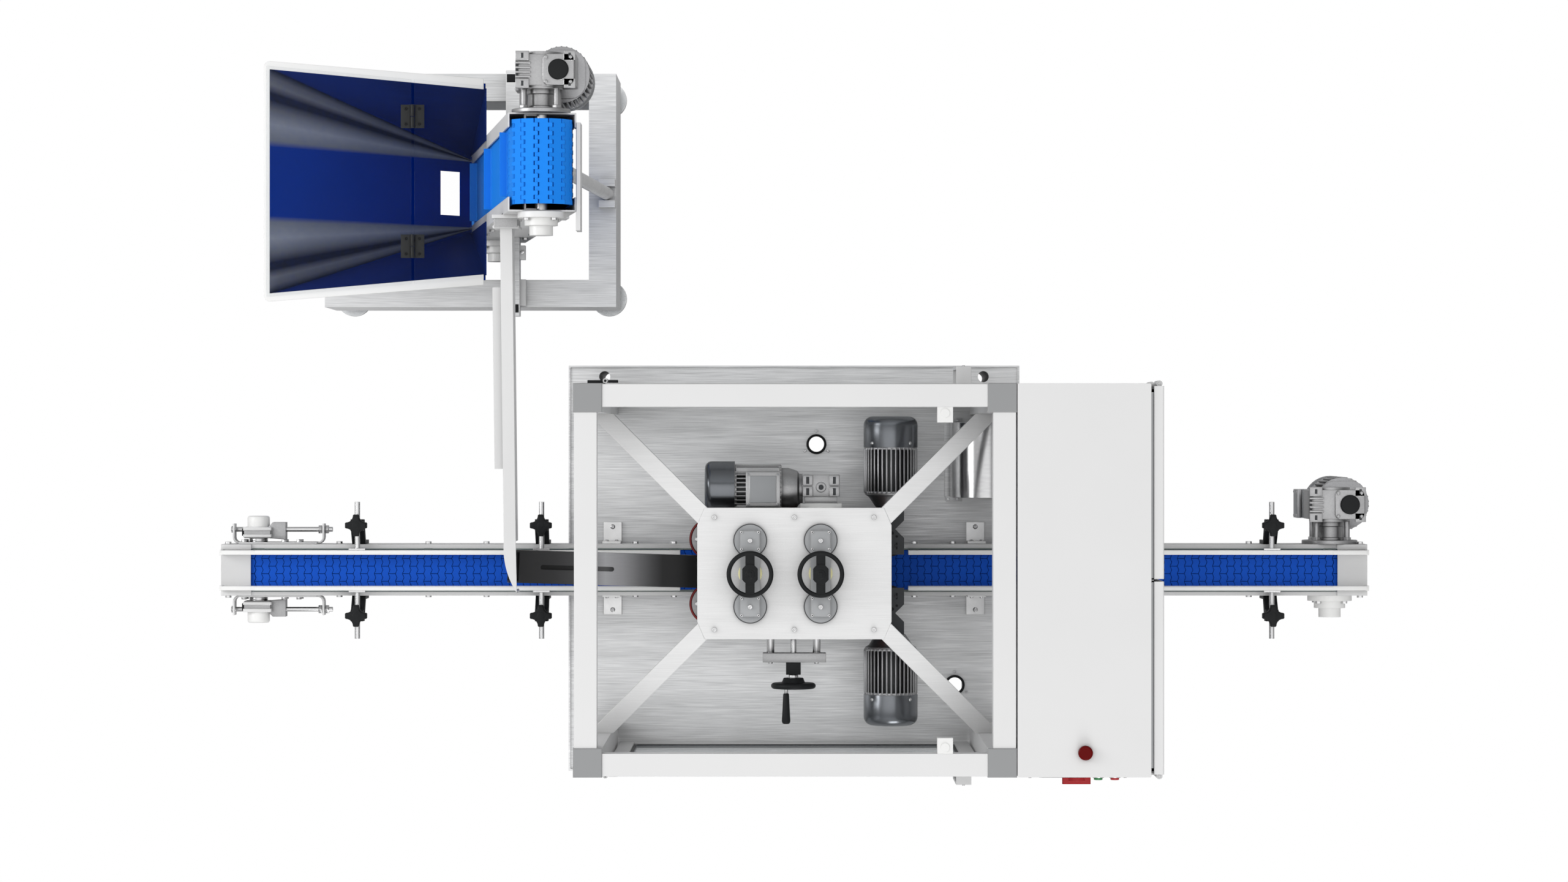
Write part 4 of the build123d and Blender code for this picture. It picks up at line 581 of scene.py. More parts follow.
def circle(radius, count, first=0):
    # Points spread evenly round the origin, from an angle in degrees.
    angles = [math.radians(first + 360 * i / count) for i in range(count)]
    return [(radius * math.cos(angle), radius * math.sin(angle)) for angle in angles]


def addLathe(bm, profile, sides=40, index=0, matrix=home):
    # Turns a profile of (radius, height) points round the Z axis.
    rings = [[bm.verts.new((*spot, height)) for spot in circle(radius, sides if radius else 1)]
             for radius, height in profile]
    for lower, upper in zip(rings, rings[1:]):
        for i in range(sides):
            j = (i + 1) % sides
            corners = [lower[i % len(lower)], lower[j % len(lower)]]
            corners += [upper[j % len(upper)], upper[i % len(upper)]]
            corners = list(dict.fromkeys(corners))
            if len(corners) > 2:
                bm.faces.new(corners)
    if profile[0] != profile[-1]:
        for ring in (rings[0], rings[-1]):
            if len(ring) > 1:
                bm.faces.new(ring)
    moved(bm, [vert for ring in rings for vert in ring], index, matrix)


def addRing(bm, radius, thick, z, steps, sides=48, index=0, matrix=home):
    # A ring with a round or oval section, thick being its half width and half height.
    section = [(radius + x * thick[0], z + y * thick[1]) for x, y in circle(1, steps)]
    addLathe(bm, section + section[:1], sides, index, matrix)


def arcPoints(centre, radius, start, end, count):
    angles = [math.radians(start + (end - start) * i / (count - 1)) for i in range(count)]
    return [(centre[0] + radius * math.cos(a), centre[1] + radius * math.sin(a)) for a in angles]


def roundedBox(x, y, radius):
    # Outline of a rectangle with rounded corners.
    corners = (
        (x[1] - radius, y[1] - radius, 0), (x[0] + radius, y[1] - radius, 90),
        (x[0] + radius, y[0] + radius, 180), (x[1] - radius, y[0] + radius, 270),
    )
    return [point for cx, cy, start in corners for point in arcPoints((cx, cy), radius, start, start + 90, 5)]


def intoMesh(bm):
    mesh = bpy.data.meshes.new("drawn")
    bm.to_mesh(mesh)
    bm.free()
    return mesh


def baked(mesh, kind, prepare):
    # The plain mesh that a modifier makes of another mesh.
    holder = putInScene("holder", mesh)
    prepare(holder.modifiers.new("making", kind))
    bpy.context.view_layer.update()
    result = bpy.data.meshes.new_from_object(holder.evaluated_get(bpy.context.evaluated_depsgraph_get()))
    holder.modifiers.clear()
    bpy.data.objects.remove(holder)
    return result


def finishPiece(name, bm, materials, body="root", stands=(), bevel=0, places=(home,)):
    # Closes a drawn mesh: faces outwards, edges rounded, one copy at each place, then rides and slot.
    def roundEdges(modifier):
        modifier.width = bevel
        modifier.segments = rounding["segments"]
        modifier.limit_method = "ANGLE"
        modifier.angle_limit = rounding["from"]

    bmesh.ops.recalc_face_normals(bm, faces=bm.faces)
    mesh = intoMesh(bm)
    if bevel:
        mesh = baked(mesh, "BEVEL", roundEdges)
    joined = bmesh.new()
    for matrix in places:
        copy = mesh.copy()
        copy.transform(toFrame @ matrix)
        joined.from_mesh(copy)
        bpy.data.meshes.remove(copy)
    bmesh.ops.recalc_face_normals(joined, faces=joined.faces)
    joined.to_mesh(mesh)
    joined.free()
    mesh.name = name
    for label in materials:
        mesh.materials.append(finishes[label])
    mesh.shade_smooth()
    mesh.set_sharp_from_angle(angle=rounding["sharp"])
    piece = putInScene(name, mesh)
    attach(piece, body)
    if stands:
        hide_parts(*stands)


# Geometry node trees

def geometryTree(name, inputs):
    sockets = [("Geometry", "Geometry", None), *inputs, ("Material", "Material", None)]
    return newGroup(name, "GeometryNodeTree", sockets, [("Geometry", "Geometry")])


def closeWithCopies(tree, given, points, piece, turn, **more):
    # Copies of a piece on points, made real and given their material.
    placed = addNode(
        tree, "GeometryNodeInstanceOnPoints", Points=points, Instance=piece, Rotation=turn, **more,
    )
    real = addNode(tree, "GeometryNodeRealizeInstances", Geometry=placed.outputs[0])
    painted = addNode(tree, "GeometryNodeSetMaterial", Geometry=real.outputs[0], Material=given["Material"])
    return closeGroup(tree, painted.outputs[0])


def turnAboutZ(tree, angle):
    euler = addNode(tree, "ShaderNodeCombineXYZ", Z=angle)
    return addNode(tree, "FunctionNodeEulerToRotation", Euler=euler.outputs[0]).outputs[0]


def makeRingTree():
    # Copies of a drawn piece round the Z axis.
    tree, given = geometryTree("piecesOnRing", [("Count", "Int", 8), ("Step", "Float", 45.0)])
    points = addNode(tree, "GeometryNodeMeshLine", Count=given["Count"], Offset=(0, 0, 0))
    index = tree.nodes.new("GeometryNodeInputIndex").outputs[0]
    angle = addMath(tree, "RADIANS", addMath(tree, "MULTIPLY", index, given["Step"]))
    return closeWithCopies(tree, given, points.outputs[0], given["Geometry"], turnAboutZ(tree, angle))


def makeLoopTree():
    # Links of a belt round two shafts that lie along X, every other one mirrored if Mirror is 1.
    tree, given = geometryTree("linksOnLoop", [
        ("Links", "Int", 100), ("Radius", "Float", 40.0), ("Span", "Float", 1000.0), ("Mirror", "Float", 0.0),
    ])
    double = addMath(tree, "MULTIPLY", given["Radius"], 2)
    width = addMath(tree, "ADD", given["Span"], double)
    outline = addNode(tree, "GeometryNodeCurvePrimitiveQuadrilateral", Width=width, Height=double)
    loop = addNode(
        tree, "GeometryNodeFilletCurve", set_mode="POLY", Curve=outline.outputs[0],
        Radius=given["Radius"], Count=32,
    )
    points = addNode(
        tree, "GeometryNodeCurveToPoints", set_mode="COUNT", Curve=loop.outputs[0], Count=given["Links"],
    )
    way = addNode(tree, "ShaderNodeSeparateXYZ", Vector=points.outputs["Tangent"]).outputs
    turn = turnAboutZ(tree, addMath(tree, "ARCTAN2", way["Y"], way["X"]))
    odd = addMath(tree, "MODULO", tree.nodes.new("GeometryNodeInputIndex").outputs[0], 2)
    flip = addMath(tree, "MULTIPLY", odd, given["Mirror"])
    scale = addNode(tree, "ShaderNodeCombineXYZ", X=1.0, Y=1.0, Z=addMath(tree, "MULTIPLY_ADD", flip, -2, 1))
    return closeWithCopies(
        tree, given, points.outputs["Points"], given["Geometry"], turn, Scale=scale.outputs[0],
    )


screwSizes = ("Sides", "Head Radius", "Top Radius", "Head Height", "Socket Radius", "Socket Depth")
screwKinds = {
    "cap": (16, 5.0, 4.4, 5.0, 2.6, 2.5), "button": (16, 5.2, 3.0, 3.0, 1.8, 1.6),
    "small": (12, 3.2, 2.6, 2.4, 1.4, 1.2), "hex": (6, 6.5, 6.2, 5.0, 1.2, 0.4),
}


def makeFastenerTree():
    # A screw head with a six-sided socket on each point, turned to the point's own aim.
    first, *others = zip(screwSizes, screwKinds["cap"])
    inputs = [(first[0], "Int", first[1])] + [(label, "Float", value) for label, value in others]
    tree, given = geometryTree("fastenersOnPoints", inputs)
    head = addNode(
        tree, "GeometryNodeMeshCone", Vertices=given["Sides"], Radius_Top=given["Top Radius"],
        Radius_Bottom=given["Head Radius"], Depth=given["Head Height"],
    )
    deep = addMath(tree, "MULTIPLY", given["Socket Depth"], 2)
    socket = addNode(tree, "GeometryNodeMeshCylinder", Vertices=6, Radius=given["Socket Radius"], Depth=deep)
    lift = addNode(tree, "ShaderNodeCombineXYZ", Z=given["Head Height"])
    raised = addNode(
        tree, "GeometryNodeTransform", Geometry=socket.outputs[0], Translation=lift.outputs[0],
    )
    cut = addNode(tree, "GeometryNodeMeshBoolean", set_operation="DIFFERENCE")
    fill(tree, cut, (head.outputs[0], raised.outputs[0]))
    aim = addNode(tree, "GeometryNodeInputNamedAttribute", set_data_type="FLOAT_VECTOR", Name="aim")
    turn = addNode(tree, "FunctionNodeAlignRotationToVector", set_axis="Z", Vector=aim.outputs[0])
    return closeWithCopies(tree, given, given["Geometry"], cut.outputs[0], turn.outputs[0])


ringTree = makeRingTree()
loopTree = makeLoopTree()
fastenerTree = makeFastenerTree()


def grow(tree, bm, values, material):
    # Runs a tree on a drawn mesh and gives back the plain result, still in millimetres.
    def setInputs(modifier):
        modifier.node_group = tree
        given = {"Material": finishes[material], **values}
        for item in tree.interface.items_tree:
            if item.item_type == "SOCKET" and item.in_out == "INPUT" and item.name in given:
                modifier[item.identifier] = given[item.name]

    bmesh.ops.recalc_face_normals(bm, faces=bm.faces)
    result = baked(intoMesh(bm), "NODES", setInputs)
    grown = bmesh.new()
    grown.from_mesh(result)
    bpy.data.meshes.remove(result)
    for face in grown.faces:
        face.material_index = 0
    return grown


def addRound(bm, seed, count, material, index=0, matrix=home):
    # Joins copies of a drawn seed round the Z axis into a drawn mesh.
    copy = intoMesh(grow(ringTree, seed, {"Count": count, "Step": 360 / count}, material))
    earlier = set(bm.verts)
    bm.from_mesh(copy)
    bpy.data.meshes.remove(copy)
    moved(bm, [vert for vert in bm.verts if vert not in earlier], index, matrix)


def aimed(spots, aim=up):
    return [(spot, aim) for spot in spots]


def addScrews(name, kind, points, material="bright_rod", body="root"):
    # Screws of one kind at (position, aim) pairs.
    bm = bmesh.new()
    layer = bm.verts.layers.float_vector.new("aim")
    for position, aim in points:
        bm.verts.new(position)[layer] = Vector(aim)
    screws = grow(fastenerTree, bm, dict(zip(screwSizes, screwKinds[kind])), material)
    finishPiece(name, screws, [material], body)


print("stage: drawing tools ready")


# Conveyor belt of interlocking bricks

brickBelt = {
    "links": 324, "radius": 42.5, "span": 2226.0, "halfWidth": 41.3, "top": 2.5, "depth": 3.2, "gap": 0.5,
    "core": (41.2, 40.1), "coreInset": 1.0, "shaftZ": 855.0, "brick": 31.6, "wave": 1.7,
    "splits": (-7.9, 23.7),
}


def loopLength(size):
    return 2 * math.pi * size.radius + 2 * size.span


def addPlate(bm, outline, size):
    # A flat plate of a belt, its length along X, its width along Z and its top towards -Y.
    addPrism(bm, [(x, -z) for x, z in outline], size.top - size.depth, size.top, 0, turned("X", 90))


def brickRow(size):
    reach = loopLength(size) / size.links / 2 - size.gap
    ends = [-size.halfWidth, *size.splits, size.halfWidth]
    bm = bmesh.new()
    for span in zip(ends, ends[1:]):
        low, high = inset(span, size.gap)
        spots = [low + (high - low) * i / 8 for i in range(9)]
        swing = [size.wave * math.cos(4 * math.pi * (spot - size.splits[0]) / size.brick) for spot in spots]
        waved = list(zip(swing, spots))
        outline = [(reach + shift, spot) for shift, spot in waved]
        addPlate(bm, outline + [(shift - reach, spot) for shift, spot in waved[::-1]], size)
    return bm


def addBand(bm, size):
    # A plain band under the plates, which closes the gaps between them. Its darker finish is painted shade in
    # those gaps.
    rings = []
    for radius in size.core:
        track = arcPoints((size.span / 2, 0), radius, -90, 90, 24)
        track += arcPoints((-size.span / 2, 0), radius, 90, 270, 24)
        for z in about(0, size.halfWidth - size.coreInset / 2):
            rings.append([bm.verts.new((x, y, z)) for x, y in track])
    count = len(rings[0])
    for step in range(count):
        after = (step + 1) % count
        for first, second in ((0, 1), (1, 3), (3, 2), (2, 0)):
            bm.faces.new((rings[first][step], rings[first][after], rings[second][after], rings[second][step]))
    moved(bm, [vert for ring in rings for vert in ring], 1, home)


def closeLoop(size, seed, mirror, material):
    # Every link round the two shafts, and the band inside them.
    loop = {"Links": size.links, "Radius": size.radius, "Span": size.span, "Mirror": mirror}
    bm = grow(loopTree, seed, loop, material)
    addBand(bm, size)
    return bm


def buildBrickBelt(values):
    size = SimpleNamespace(**values)
    bm = closeLoop(size, brickRow(size), 1.0, "belt_blue")
    upright = asPlace((0, 0, size.shaftZ), "X", 90)
    finishPiece("belt_bricks", bm, ["belt_blue", "belt_core"], stands=["conveyor_belt"], places=[upright])


buildBrickBelt(brickBelt)
print("stage: conveyor belt")


# Elevator belt of crenellated links with flights

linkBelt = {
    "links": 102, "radius": 58.0, "span": 1190.0, "halfWidth": 82.5, "top": 3.0, "depth": 5.2,
    "gap": 0.55, "core": (56.4, 55.1), "coreInset": 2.0, "tilt": 8.0, "head": (-494.5, 809.0, 1389.0),
    "fingers": 10, "step": 8.7, "flightHalf": 63.0, "flightRise": 16.0, "flightSheet": 3.0, "flights": 6,
    "flightFirst": 60.0,
}


def crenelLink(size):
    cell = size.halfWidth / size.fingers
    edge = []
    for number in range(2 * size.fingers):
        low = -size.halfWidth + number * cell
        shift = size.step / 2 * (1 if number % 2 else -1)
        edge += [(shift, low), (shift, low + cell)]
    reach = loopLength(size) / size.links / 2 - size.gap
    outline = [(reach + shift, z) for shift, z in edge] + [(shift - reach, z) for shift, z in edge[::-1]]
    bm = bmesh.new()
    addPlate(bm, outline, size)
    return bm


def loopPoint(size, along):
    # The place on the loop after a way along it, as a matrix with its Y axis outwards.
    radius, half = size.radius, size.span / 2
    turn = math.pi * radius
    along %= loopLength(size)
    if along < 2 * half:
        return asPlace((half - along, radius, 0))
    along -= 2 * half
    if along < turn:
        return asPlace((-half, 0, 0), "Z", math.degrees(along / radius)) @ asPlace((0, radius, 0))
    along -= turn
    if along < 2 * half:
        return asPlace((-half + along, -radius, 0), "Z", 180)
    angle = 180 + math.degrees((along - 2 * half) / radius)
    return asPlace((half, 0, 0), "Z", angle) @ asPlace((0, radius, 0))


def buildLinkBelt(values):
    size = SimpleNamespace(**values)
    bm = closeLoop(size, crenelLink(size), 0.0, "belt_bright_blue")
    sheet = size.flightSheet
    for number in range(size.flights):
        spot = loopPoint(size, size.flightFirst + number * loopLength(size) / size.flights)
        for half, rise in ((sheet / 2, size.flightRise), (1.5 * sheet, sheet / 2)):
            addBox(bm, about(0, half), (size.top - 0.5, size.top + rise), about(0, size.flightHalf), 0, spot)
    # X of the loop goes up the elevator, and Z across it.
    leaning = asPlace(size.head, "Y", size.tilt) @ asPlace((0, 0, -size.span / 2))
    upright = leaning @ Matrix(((0, -1, 0, 0), (0, 0, -1, 0), (1, 0, 0, 0), (0, 0, 0, 1)))
    labels = ["belt_bright_blue", "belt_core"]
    finishPiece("elevator_links", bm, labels, stands=["elevator_belt"], places=[upright])


buildLinkBelt(linkBelt)
print("stage: elevator belt")


# Motors

fanCover = {
    "sides": 44, "slots": 20, "grille": 0.62, "hub": 0.22, "barStart": 0.2, "barHalf": 1.6, "sunk": 3.0,
}


def addStud(bm, radius, z, cut, sides, index, matrix=home):
    # A short round piece whose far edge is cut by a width and a depth.
    low, high = z
    profile = [(0, low), (radius, low), (radius, high - cut[1]), (radius - cut[0], high), (0, high)]
    addLathe(bm, profile, sides, index, matrix)


def addFins(bm, span, core, outer, count, thickness, matrix=home, first=0.0):
    # A dark core with straight fins round it and a ring at each end, along Z. The core's darker finish is
    # painted shade in the gaps between the fins.
    low, high = span
    addPin(bm, 0, 0, span, core, 32, 1, matrix)
    fin = bmesh.new()
    addBox(fin, (core - 1.5, outer), about(0, thickness / 2), inset(span, 1))
    addRound(bm, fin, count, "motor_grey", 0, matrix @ turned("Z", first))
    for z in ((low, low + 5), (high - 5, high)):
        addPin(bm, 0, 0, z, outer - 1, 40, 0, matrix)


def addFanCover(bm, span, radius, bend, matrix=home):
    # A pressed cover with a rounded end, and a sunk grille of bars round its middle.
    size = SimpleNamespace(**fanCover)
    low, high = span
    grille = radius * size.grille
    floorZ = high - size.sunk
    rim = arcPoints((radius - bend, high - bend), bend, 0, 90, 7)
    addLathe(bm, [(radius, low), *rim, (grille, high), (grille, floorZ), (0, floorZ)], size.sides, 2, matrix)
    barZ = (floorZ - 0.5, high - 0.4)
    bar = bmesh.new()
    addBox(bar, (radius * size.barStart, grille + 0.5), about(0, size.barHalf), barZ)
    addRound(bm, bar, size.slots, "motor_grey", 2, matrix)
    addPin(bm, 0, 0, barZ, radius * size.hub, 20, 2, matrix)


def addTerminalBox(bm, x, y, z, index, matrix):
    # The box with its lid along +X, its rim line and four lid screws.
    outer = x[1]
    lid = outer - 9
    addBox(bm, (x[0], lid - 1.2), y, z, index, matrix)
    addBox(bm, (lid - 1.4, lid + 0.2), inset(y, 1.5), inset(z, 1.5), 1, matrix)
    addBox(bm, (lid, outer), y, z, 0, matrix)
    addBox(bm, (outer - 1, outer + 0.8), inset(y, 8), inset(z, 8), index, matrix)
    for cy in inset(y, 5):
        for cz in inset(z, 5):
            addRod(bm, (outer - 0.5, cy, cz), (outer + 1.2, cy, cz), 2.2, 10, 3, matrix)


sideMotor = {
    "x": 198.0, "z": 957.0, "near": 130.0, "neck": 158.0, "finsEnd": 254.0, "end": 317.0, "nearRadius": 30.0,
    "core": 44.0, "radius": 54.0, "fins": 36, "fin": 3.2, "coverRadius": 55.5, "rounding": 18.0,
    "pads": (((-55.0, -46.0), 13.0), ((46.0, 55.0), 9.0)),
}


def buildSideMotors(values):
    size = SimpleNamespace(**values)
    bm = bmesh.new()
    near, neck, finsEnd, radius = size.near, size.neck, size.finsEnd, size.radius
    addLathe(bm, [
        (0, near), (size.nearRadius, near), (size.nearRadius + 3, near + 4), (radius - 9, neck - 6),
        (radius - 4, neck - 3), (radius - 2, neck - 2), (radius - 2, neck + 1), (0, neck + 1),
    ])
    addFins(bm, (neck, finsEnd), size.core, radius, size.fins, size.fin)
    # The pad along the left and the narrow one opposite, where such motors carry them.
    for x, half in size.pads:
        addBox(bm, x, about(0, half), (neck + 4, finsEnd - 3))
    cover, screwZ = size.coverRadius, finsEnd + 8
    addFanCover(bm, (finsEnd - 1, size.end), cover, size.rounding)
    for angle in diagonals:
        addRod(bm, (cover - 1, 0, screwZ), (cover + 1.2, 0, screwZ), 3, 10, 3, turned("Z", angle))
    # Z of the drawing runs along +Y.
    lying = asPlace((size.x, 0, size.z), "X", -90)
    labels = ["motor_grey", "dark_grey", "motor_cover", "bright_rod"]
    places = [lying, mirrorY @ lying]
    finishPiece("side_motor_bodies", bm, labels, stands=["side_motors"], places=places, bevel=0.5)


spindleMotor = {
    "z": 1035.0, "y": 169.0, "left": -182.0, "coverEnd": -122.0, "bellStart": -26.0, "boxLeft": 16.0,
    "boxRight": 92.0, "near": 140.0, "far": 198.0, "half": 39.0, "core": 41.0, "radius": 50.0, "fins": 34,
    "fin": 3.0, "firstFin": 5.0, "coverRadius": 56.5, "rounding": 14.0, "bellRadius": 43.0,
    "terminal": (-98.0, -29.0, 35.0, 74.5), "feetY": (30.0, 44.0), "feetZ": (22.0, 34.0),
    "bracketNear": 90.0, "bracketZ": (1045.0, 1075.0), "ribTop": 1081.0,
}


def buildSpindleMotor(values):
    size = SimpleNamespace(**values)
    bm = bmesh.new()
    z, y, near, far, bell = size.z, size.y, size.near, size.far, size.bellRadius
    # Z of the motor's drawing runs along -X, from the gearbox to the cover.
    lying = asPlace((size.boxLeft, y, z), "Y", -90)
    bellEnd, finsEnd = size.boxLeft - size.bellStart, size.boxLeft - size.coverEnd
    addLathe(bm, [
        (0, -1), (bell - 12, -1), (bell - 12, 6), (bell - 6, 10), (bell, bellEnd - 14), (bell, bellEnd),
        (0, bellEnd),
    ], 40, 0, lying)
    addFins(bm, (bellEnd, finsEnd), size.core, size.radius, size.fins, size.fin, lying, size.firstFin)
    turnedBack = asPlace((size.boxLeft, y, z), "Z", 180)
    for side in bothSides:
        addBox(bm, (bellEnd + 4, finsEnd - 3), onSide(side, size.feetY), size.feetZ, 0, turnedBack)
    addFanCover(bm, (finsEnd - 1, size.boxLeft - size.left), size.coverRadius, size.rounding, lying)
    left, right, half, rise = size.terminal
    upward = asPlace(((left + right) / 2, y, z), "Y", -90)
    addTerminalBox(bm, (half, rise), about(0, half), about(0, (right - left) / 2), 3, upward)
    # Gearbox with its corner pads, recess, nub and the flange towards the carriage.
    x, tall, top = (size.boxLeft, size.boxRight), about(z, size.half), z + size.half
    addBox(bm, x, (near + 14, far), (tall[0] + 3, top - 4))
    addBox(bm, inset(x, 5), (near, near + 16), inset(tall, 6))
    # The dark marks on the corner pads stand for their notches: painted shade.
    for px in inset(x, 11):
        for py in (near + 24, far - 11):
            addBox(bm, about(px, 10), about(py, 10), (top - 6, top))
            addBox(bm, about(px, 3), about(py, 7), (top - 0.4, top + 0.2), 1)
    middle = (x[0] + x[1]) / 2
    addPin(bm, middle, y + 4, (top - 5, top - 1.5), 10, 20)
    addPin(bm, middle, y + 4, (top - 2, top - 0.5), 5, 12, 1)
    addBox(bm, inset(x, -4), (near - 10, near), inset(tall, 4), 4)
    bracket = inset(x, 12)
    addBox(bm, bracket, (size.bracketNear, near - 9), size.bracketZ, 4)
    for px in (bracket[0] + 6, middle, bracket[1] - 6):
        addBox(bm, about(px, 2), (size.bracketNear + 8, near - 9), (size.bracketZ[1] - 1, size.ribTop), 4)
    labels = ["cast_grey", "dark_grey", "motor_cover", "motor_box", "white_plastic"]
    finishPiece("spindle_motor_body", bm, labels, stands=["spindle_gearmotor"], bevel=0.8)


hangingDrive = {
    "places": ((1113.0, 53.0, 855.0), (-494.5, 905.0, 1389.0)), "mount": 57.5, "mountSheet": 8.0,
    "hub": 30.0, "length": 46.0, "standoff": 45.0, "standoffRadius": 6.0, "left": 48.0, "right": 70.0,
    "depth": 72.0, "up": 50.0, "down": 58.0, "round": 12.0, "face": 42.0, "ribs": 4, "input": 36.0,
    "cap": 20.0, "plateHalf": 30.0, "plateBolts": 24.0, "flange": 48.0, "flangeRound": 30.0,
    "flangeSheet": 12.0, "flangeBolts": 49.0, "body": 150.0, "core": 44.0, "radius": 56.5, "fins": 34,
    "fin": 3.0, "firstFin": 5.0, "coverRadius": 57.0, "cover": 58.0, "coverRound": 10.0,
    "box": (92.0, 35.0, 30.0, 66.0), "boxDrop": 18.0,
}


def buildWormGearboxes(values):
    size = SimpleNamespace(**values)
    bm = bmesh.new()
    outward = turned("X", -90)
    sheet, near, hub = size.mountSheet, size.length, size.hub
    addStud(bm, size.mount, (0, sheet), (1, 1), 48, 3, outward)
    addLathe(bm, [
        (0, sheet - 1), (hub, sheet - 1), (hub, sheet + 5), (hub - 3, sheet + 6), (hub - 3, near - 10),
        (hub, near - 9), (hub, near + 1), (0, near + 1),
    ], 40, 0, outward)
    for sx, sz in circle(size.standoff, 4, 45):
        addRod(bm, (sx, sheet - 1, sz), (sx, near + 1, sz), size.standoffRadius, 16, 3)
        addRod(bm, (sx, sheet, sz), (sx, sheet + 6, sz), 9, 6, 3)
    far, left, right, high = near + size.depth, -size.left, size.right, size.up
    middle = (near + far) / 2
    shell = roundedBox((left, right), (-size.down, high - 6), size.round)
    addPrism(bm, shell, 6 - far, -near - 6, 0, turned("X", 90))
    for low, end in ((near, near + 7), (far - 7, far)):
        addLathe(bm, [(0, low), (size.face, low), (size.face, end), (0, end)], 40, 0, outward)
    addRod(bm, (0, far - 1, 0), (0, far + 0.01, 0), 20, 32, 1)
    # Corner pads with their notches, and the ribs between them. The dark marks in the notches and the dark
    # block between the ribs are painted shade.
    for py in (near + 9, far - 9):
        for px, reach in ((left + 14, 13), (right - 12, 11)):
            addBox(bm, about(px, reach), about(py, 9), (high - 8, high - 1))
            addBox(bm, about(px, 2.5), about(py, 5), (high - 1.4, high - 0.8), 1)
    for rib in range(size.ribs):
        addBox(bm, (left + 1, left + 30), about(near + 22 + rib * 9, 1.8), (high - 8, high - 2))
    addBox(bm, (left + 1, left + 6), (near + 20, far - 20), (high - 9, high - 5.5), 1)
    # The plate and cap over the motor's shaft.
    centre, half = size.input, size.plateHalf
    addPrism(bm, roundedBox(about(centre, half), about(middle, half), 10), high - 7, high - 1)
    addStud(bm, size.cap, (high - 2, high + 6), (2, 2), 32, 2, asPlace((centre, middle, 0)))
    for sx, sy in fourCorners:
        x, y = centre + sx * size.plateBolts, middle + sy * size.plateBolts
        addPin(bm, x, y, (high - 1.5, high + 2), 3.6, 6, 3)
    labels = ["cast_grey", "dark_grey", "black_plastic", "machined_grey"]
    places = [asPlace(spot) for spot in size.places]
    finishPiece("worm_gearboxes", bm, labels, stands=["gearboxes"], places=places, bevel=1.0)


def buildHangingMotors(values):
    size = SimpleNamespace(**values)
    bm = bmesh.new()
    y, top, sheet = size.length + size.depth / 2, -size.down, size.flangeSheet
    # Z of the motor's drawing runs down from the gearbox.
    down = asPlace((size.input, y, top), "X", 180)
    square = about(0, size.flange)
    addPrism(bm, roundedBox(square, square, size.flangeRound), 0, sheet - 2, 0, down)
    addPin(bm, 0, 0, (sheet - 3, sheet), 46, 40, 0, down)
    for bx, by in circle(size.flangeBolts, 4, 45):
        addPin(bm, bx, by, (sheet - 3, sheet + 4), 5, 6, 3, down)
    finsEnd = sheet + size.body
    addFins(bm, (sheet, finsEnd), size.core, size.radius, size.fins, size.fin, down, size.firstFin)
    addFanCover(bm, (finsEnd - 1, finsEnd + size.cover), size.coverRadius, size.coverRound, down)
    # The terminal box faces -X, so its drawing is turned round. A cable gland stands under it.
    out, back, half, tall = size.box
    boxPlace = asPlace((size.input, y, top - sheet - size.boxDrop - tall / 2), "Z", 180)
    addTerminalBox(bm, (back, out), about(0, half), about(0, tall / 2), 4, boxPlace)
    addPin(bm, back + 20, 0, (-tall / 2 - 12, -tall / 2 + 1), 9, 6, 1, boxPlace)
    labels = ["motor_grey", "dark_grey", "motor_cover", "bright_rod", "motor_box"]
    places = [asPlace(spot) for spot in size.places]
    finishPiece("hanging_motors", bm, labels, stands=["gear_motors"], places=places, bevel=0.5)


buildSideMotors(sideMotor)
buildSpindleMotor(spindleMotor)
buildWormGearboxes(hangingDrive)
buildHangingMotors(hangingDrive)
print("stage: motors and gearboxes")


# Guide brackets with star knobs

guideBracket = {
    "places": (-901.0, -521.0, 521.0, 985.0), "half": 14.0, "outer": 53.0, "rodY": 93.0, "rodZ": 922.0,
    "block": 12.0, "foot": 822.0, "sheet": 8.0, "bends": (884.0, 892.0), "slotHalf": 5.7,
    "bolts": (834.0, 860.0), "knobLow": 942.0, "knobRise": 14.0, "knobReach": 22.5,
    "lobes": ((6.0, 7.0), (4.5, 6.0)),
}


def starOutline(reach, half, hollow, steps=6):
    # A hand knob's outline: four blunt lobes joined by hollow curves.
    quarter = [(reach, -half + 1.5), (reach, half - 1.5), (reach - 1.5, half)]
    for i in range(1, steps):
        t = i / steps
        near, mid, far = (1 - t) ** 2, 2 * t * (1 - t), t ** 2
        x = near * (reach - 1.5) + mid * hollow + far * half
        y = near * half + mid * hollow + far * (reach - 1.5)
        quarter.append((x, y))
    quarter.append((half, reach - 1.5))
    return [(c * x - s * y, s * x + c * y) for c, s in ((1, 0), (0, 1), (-1, 0), (0, -1)) for x, y in quarter]


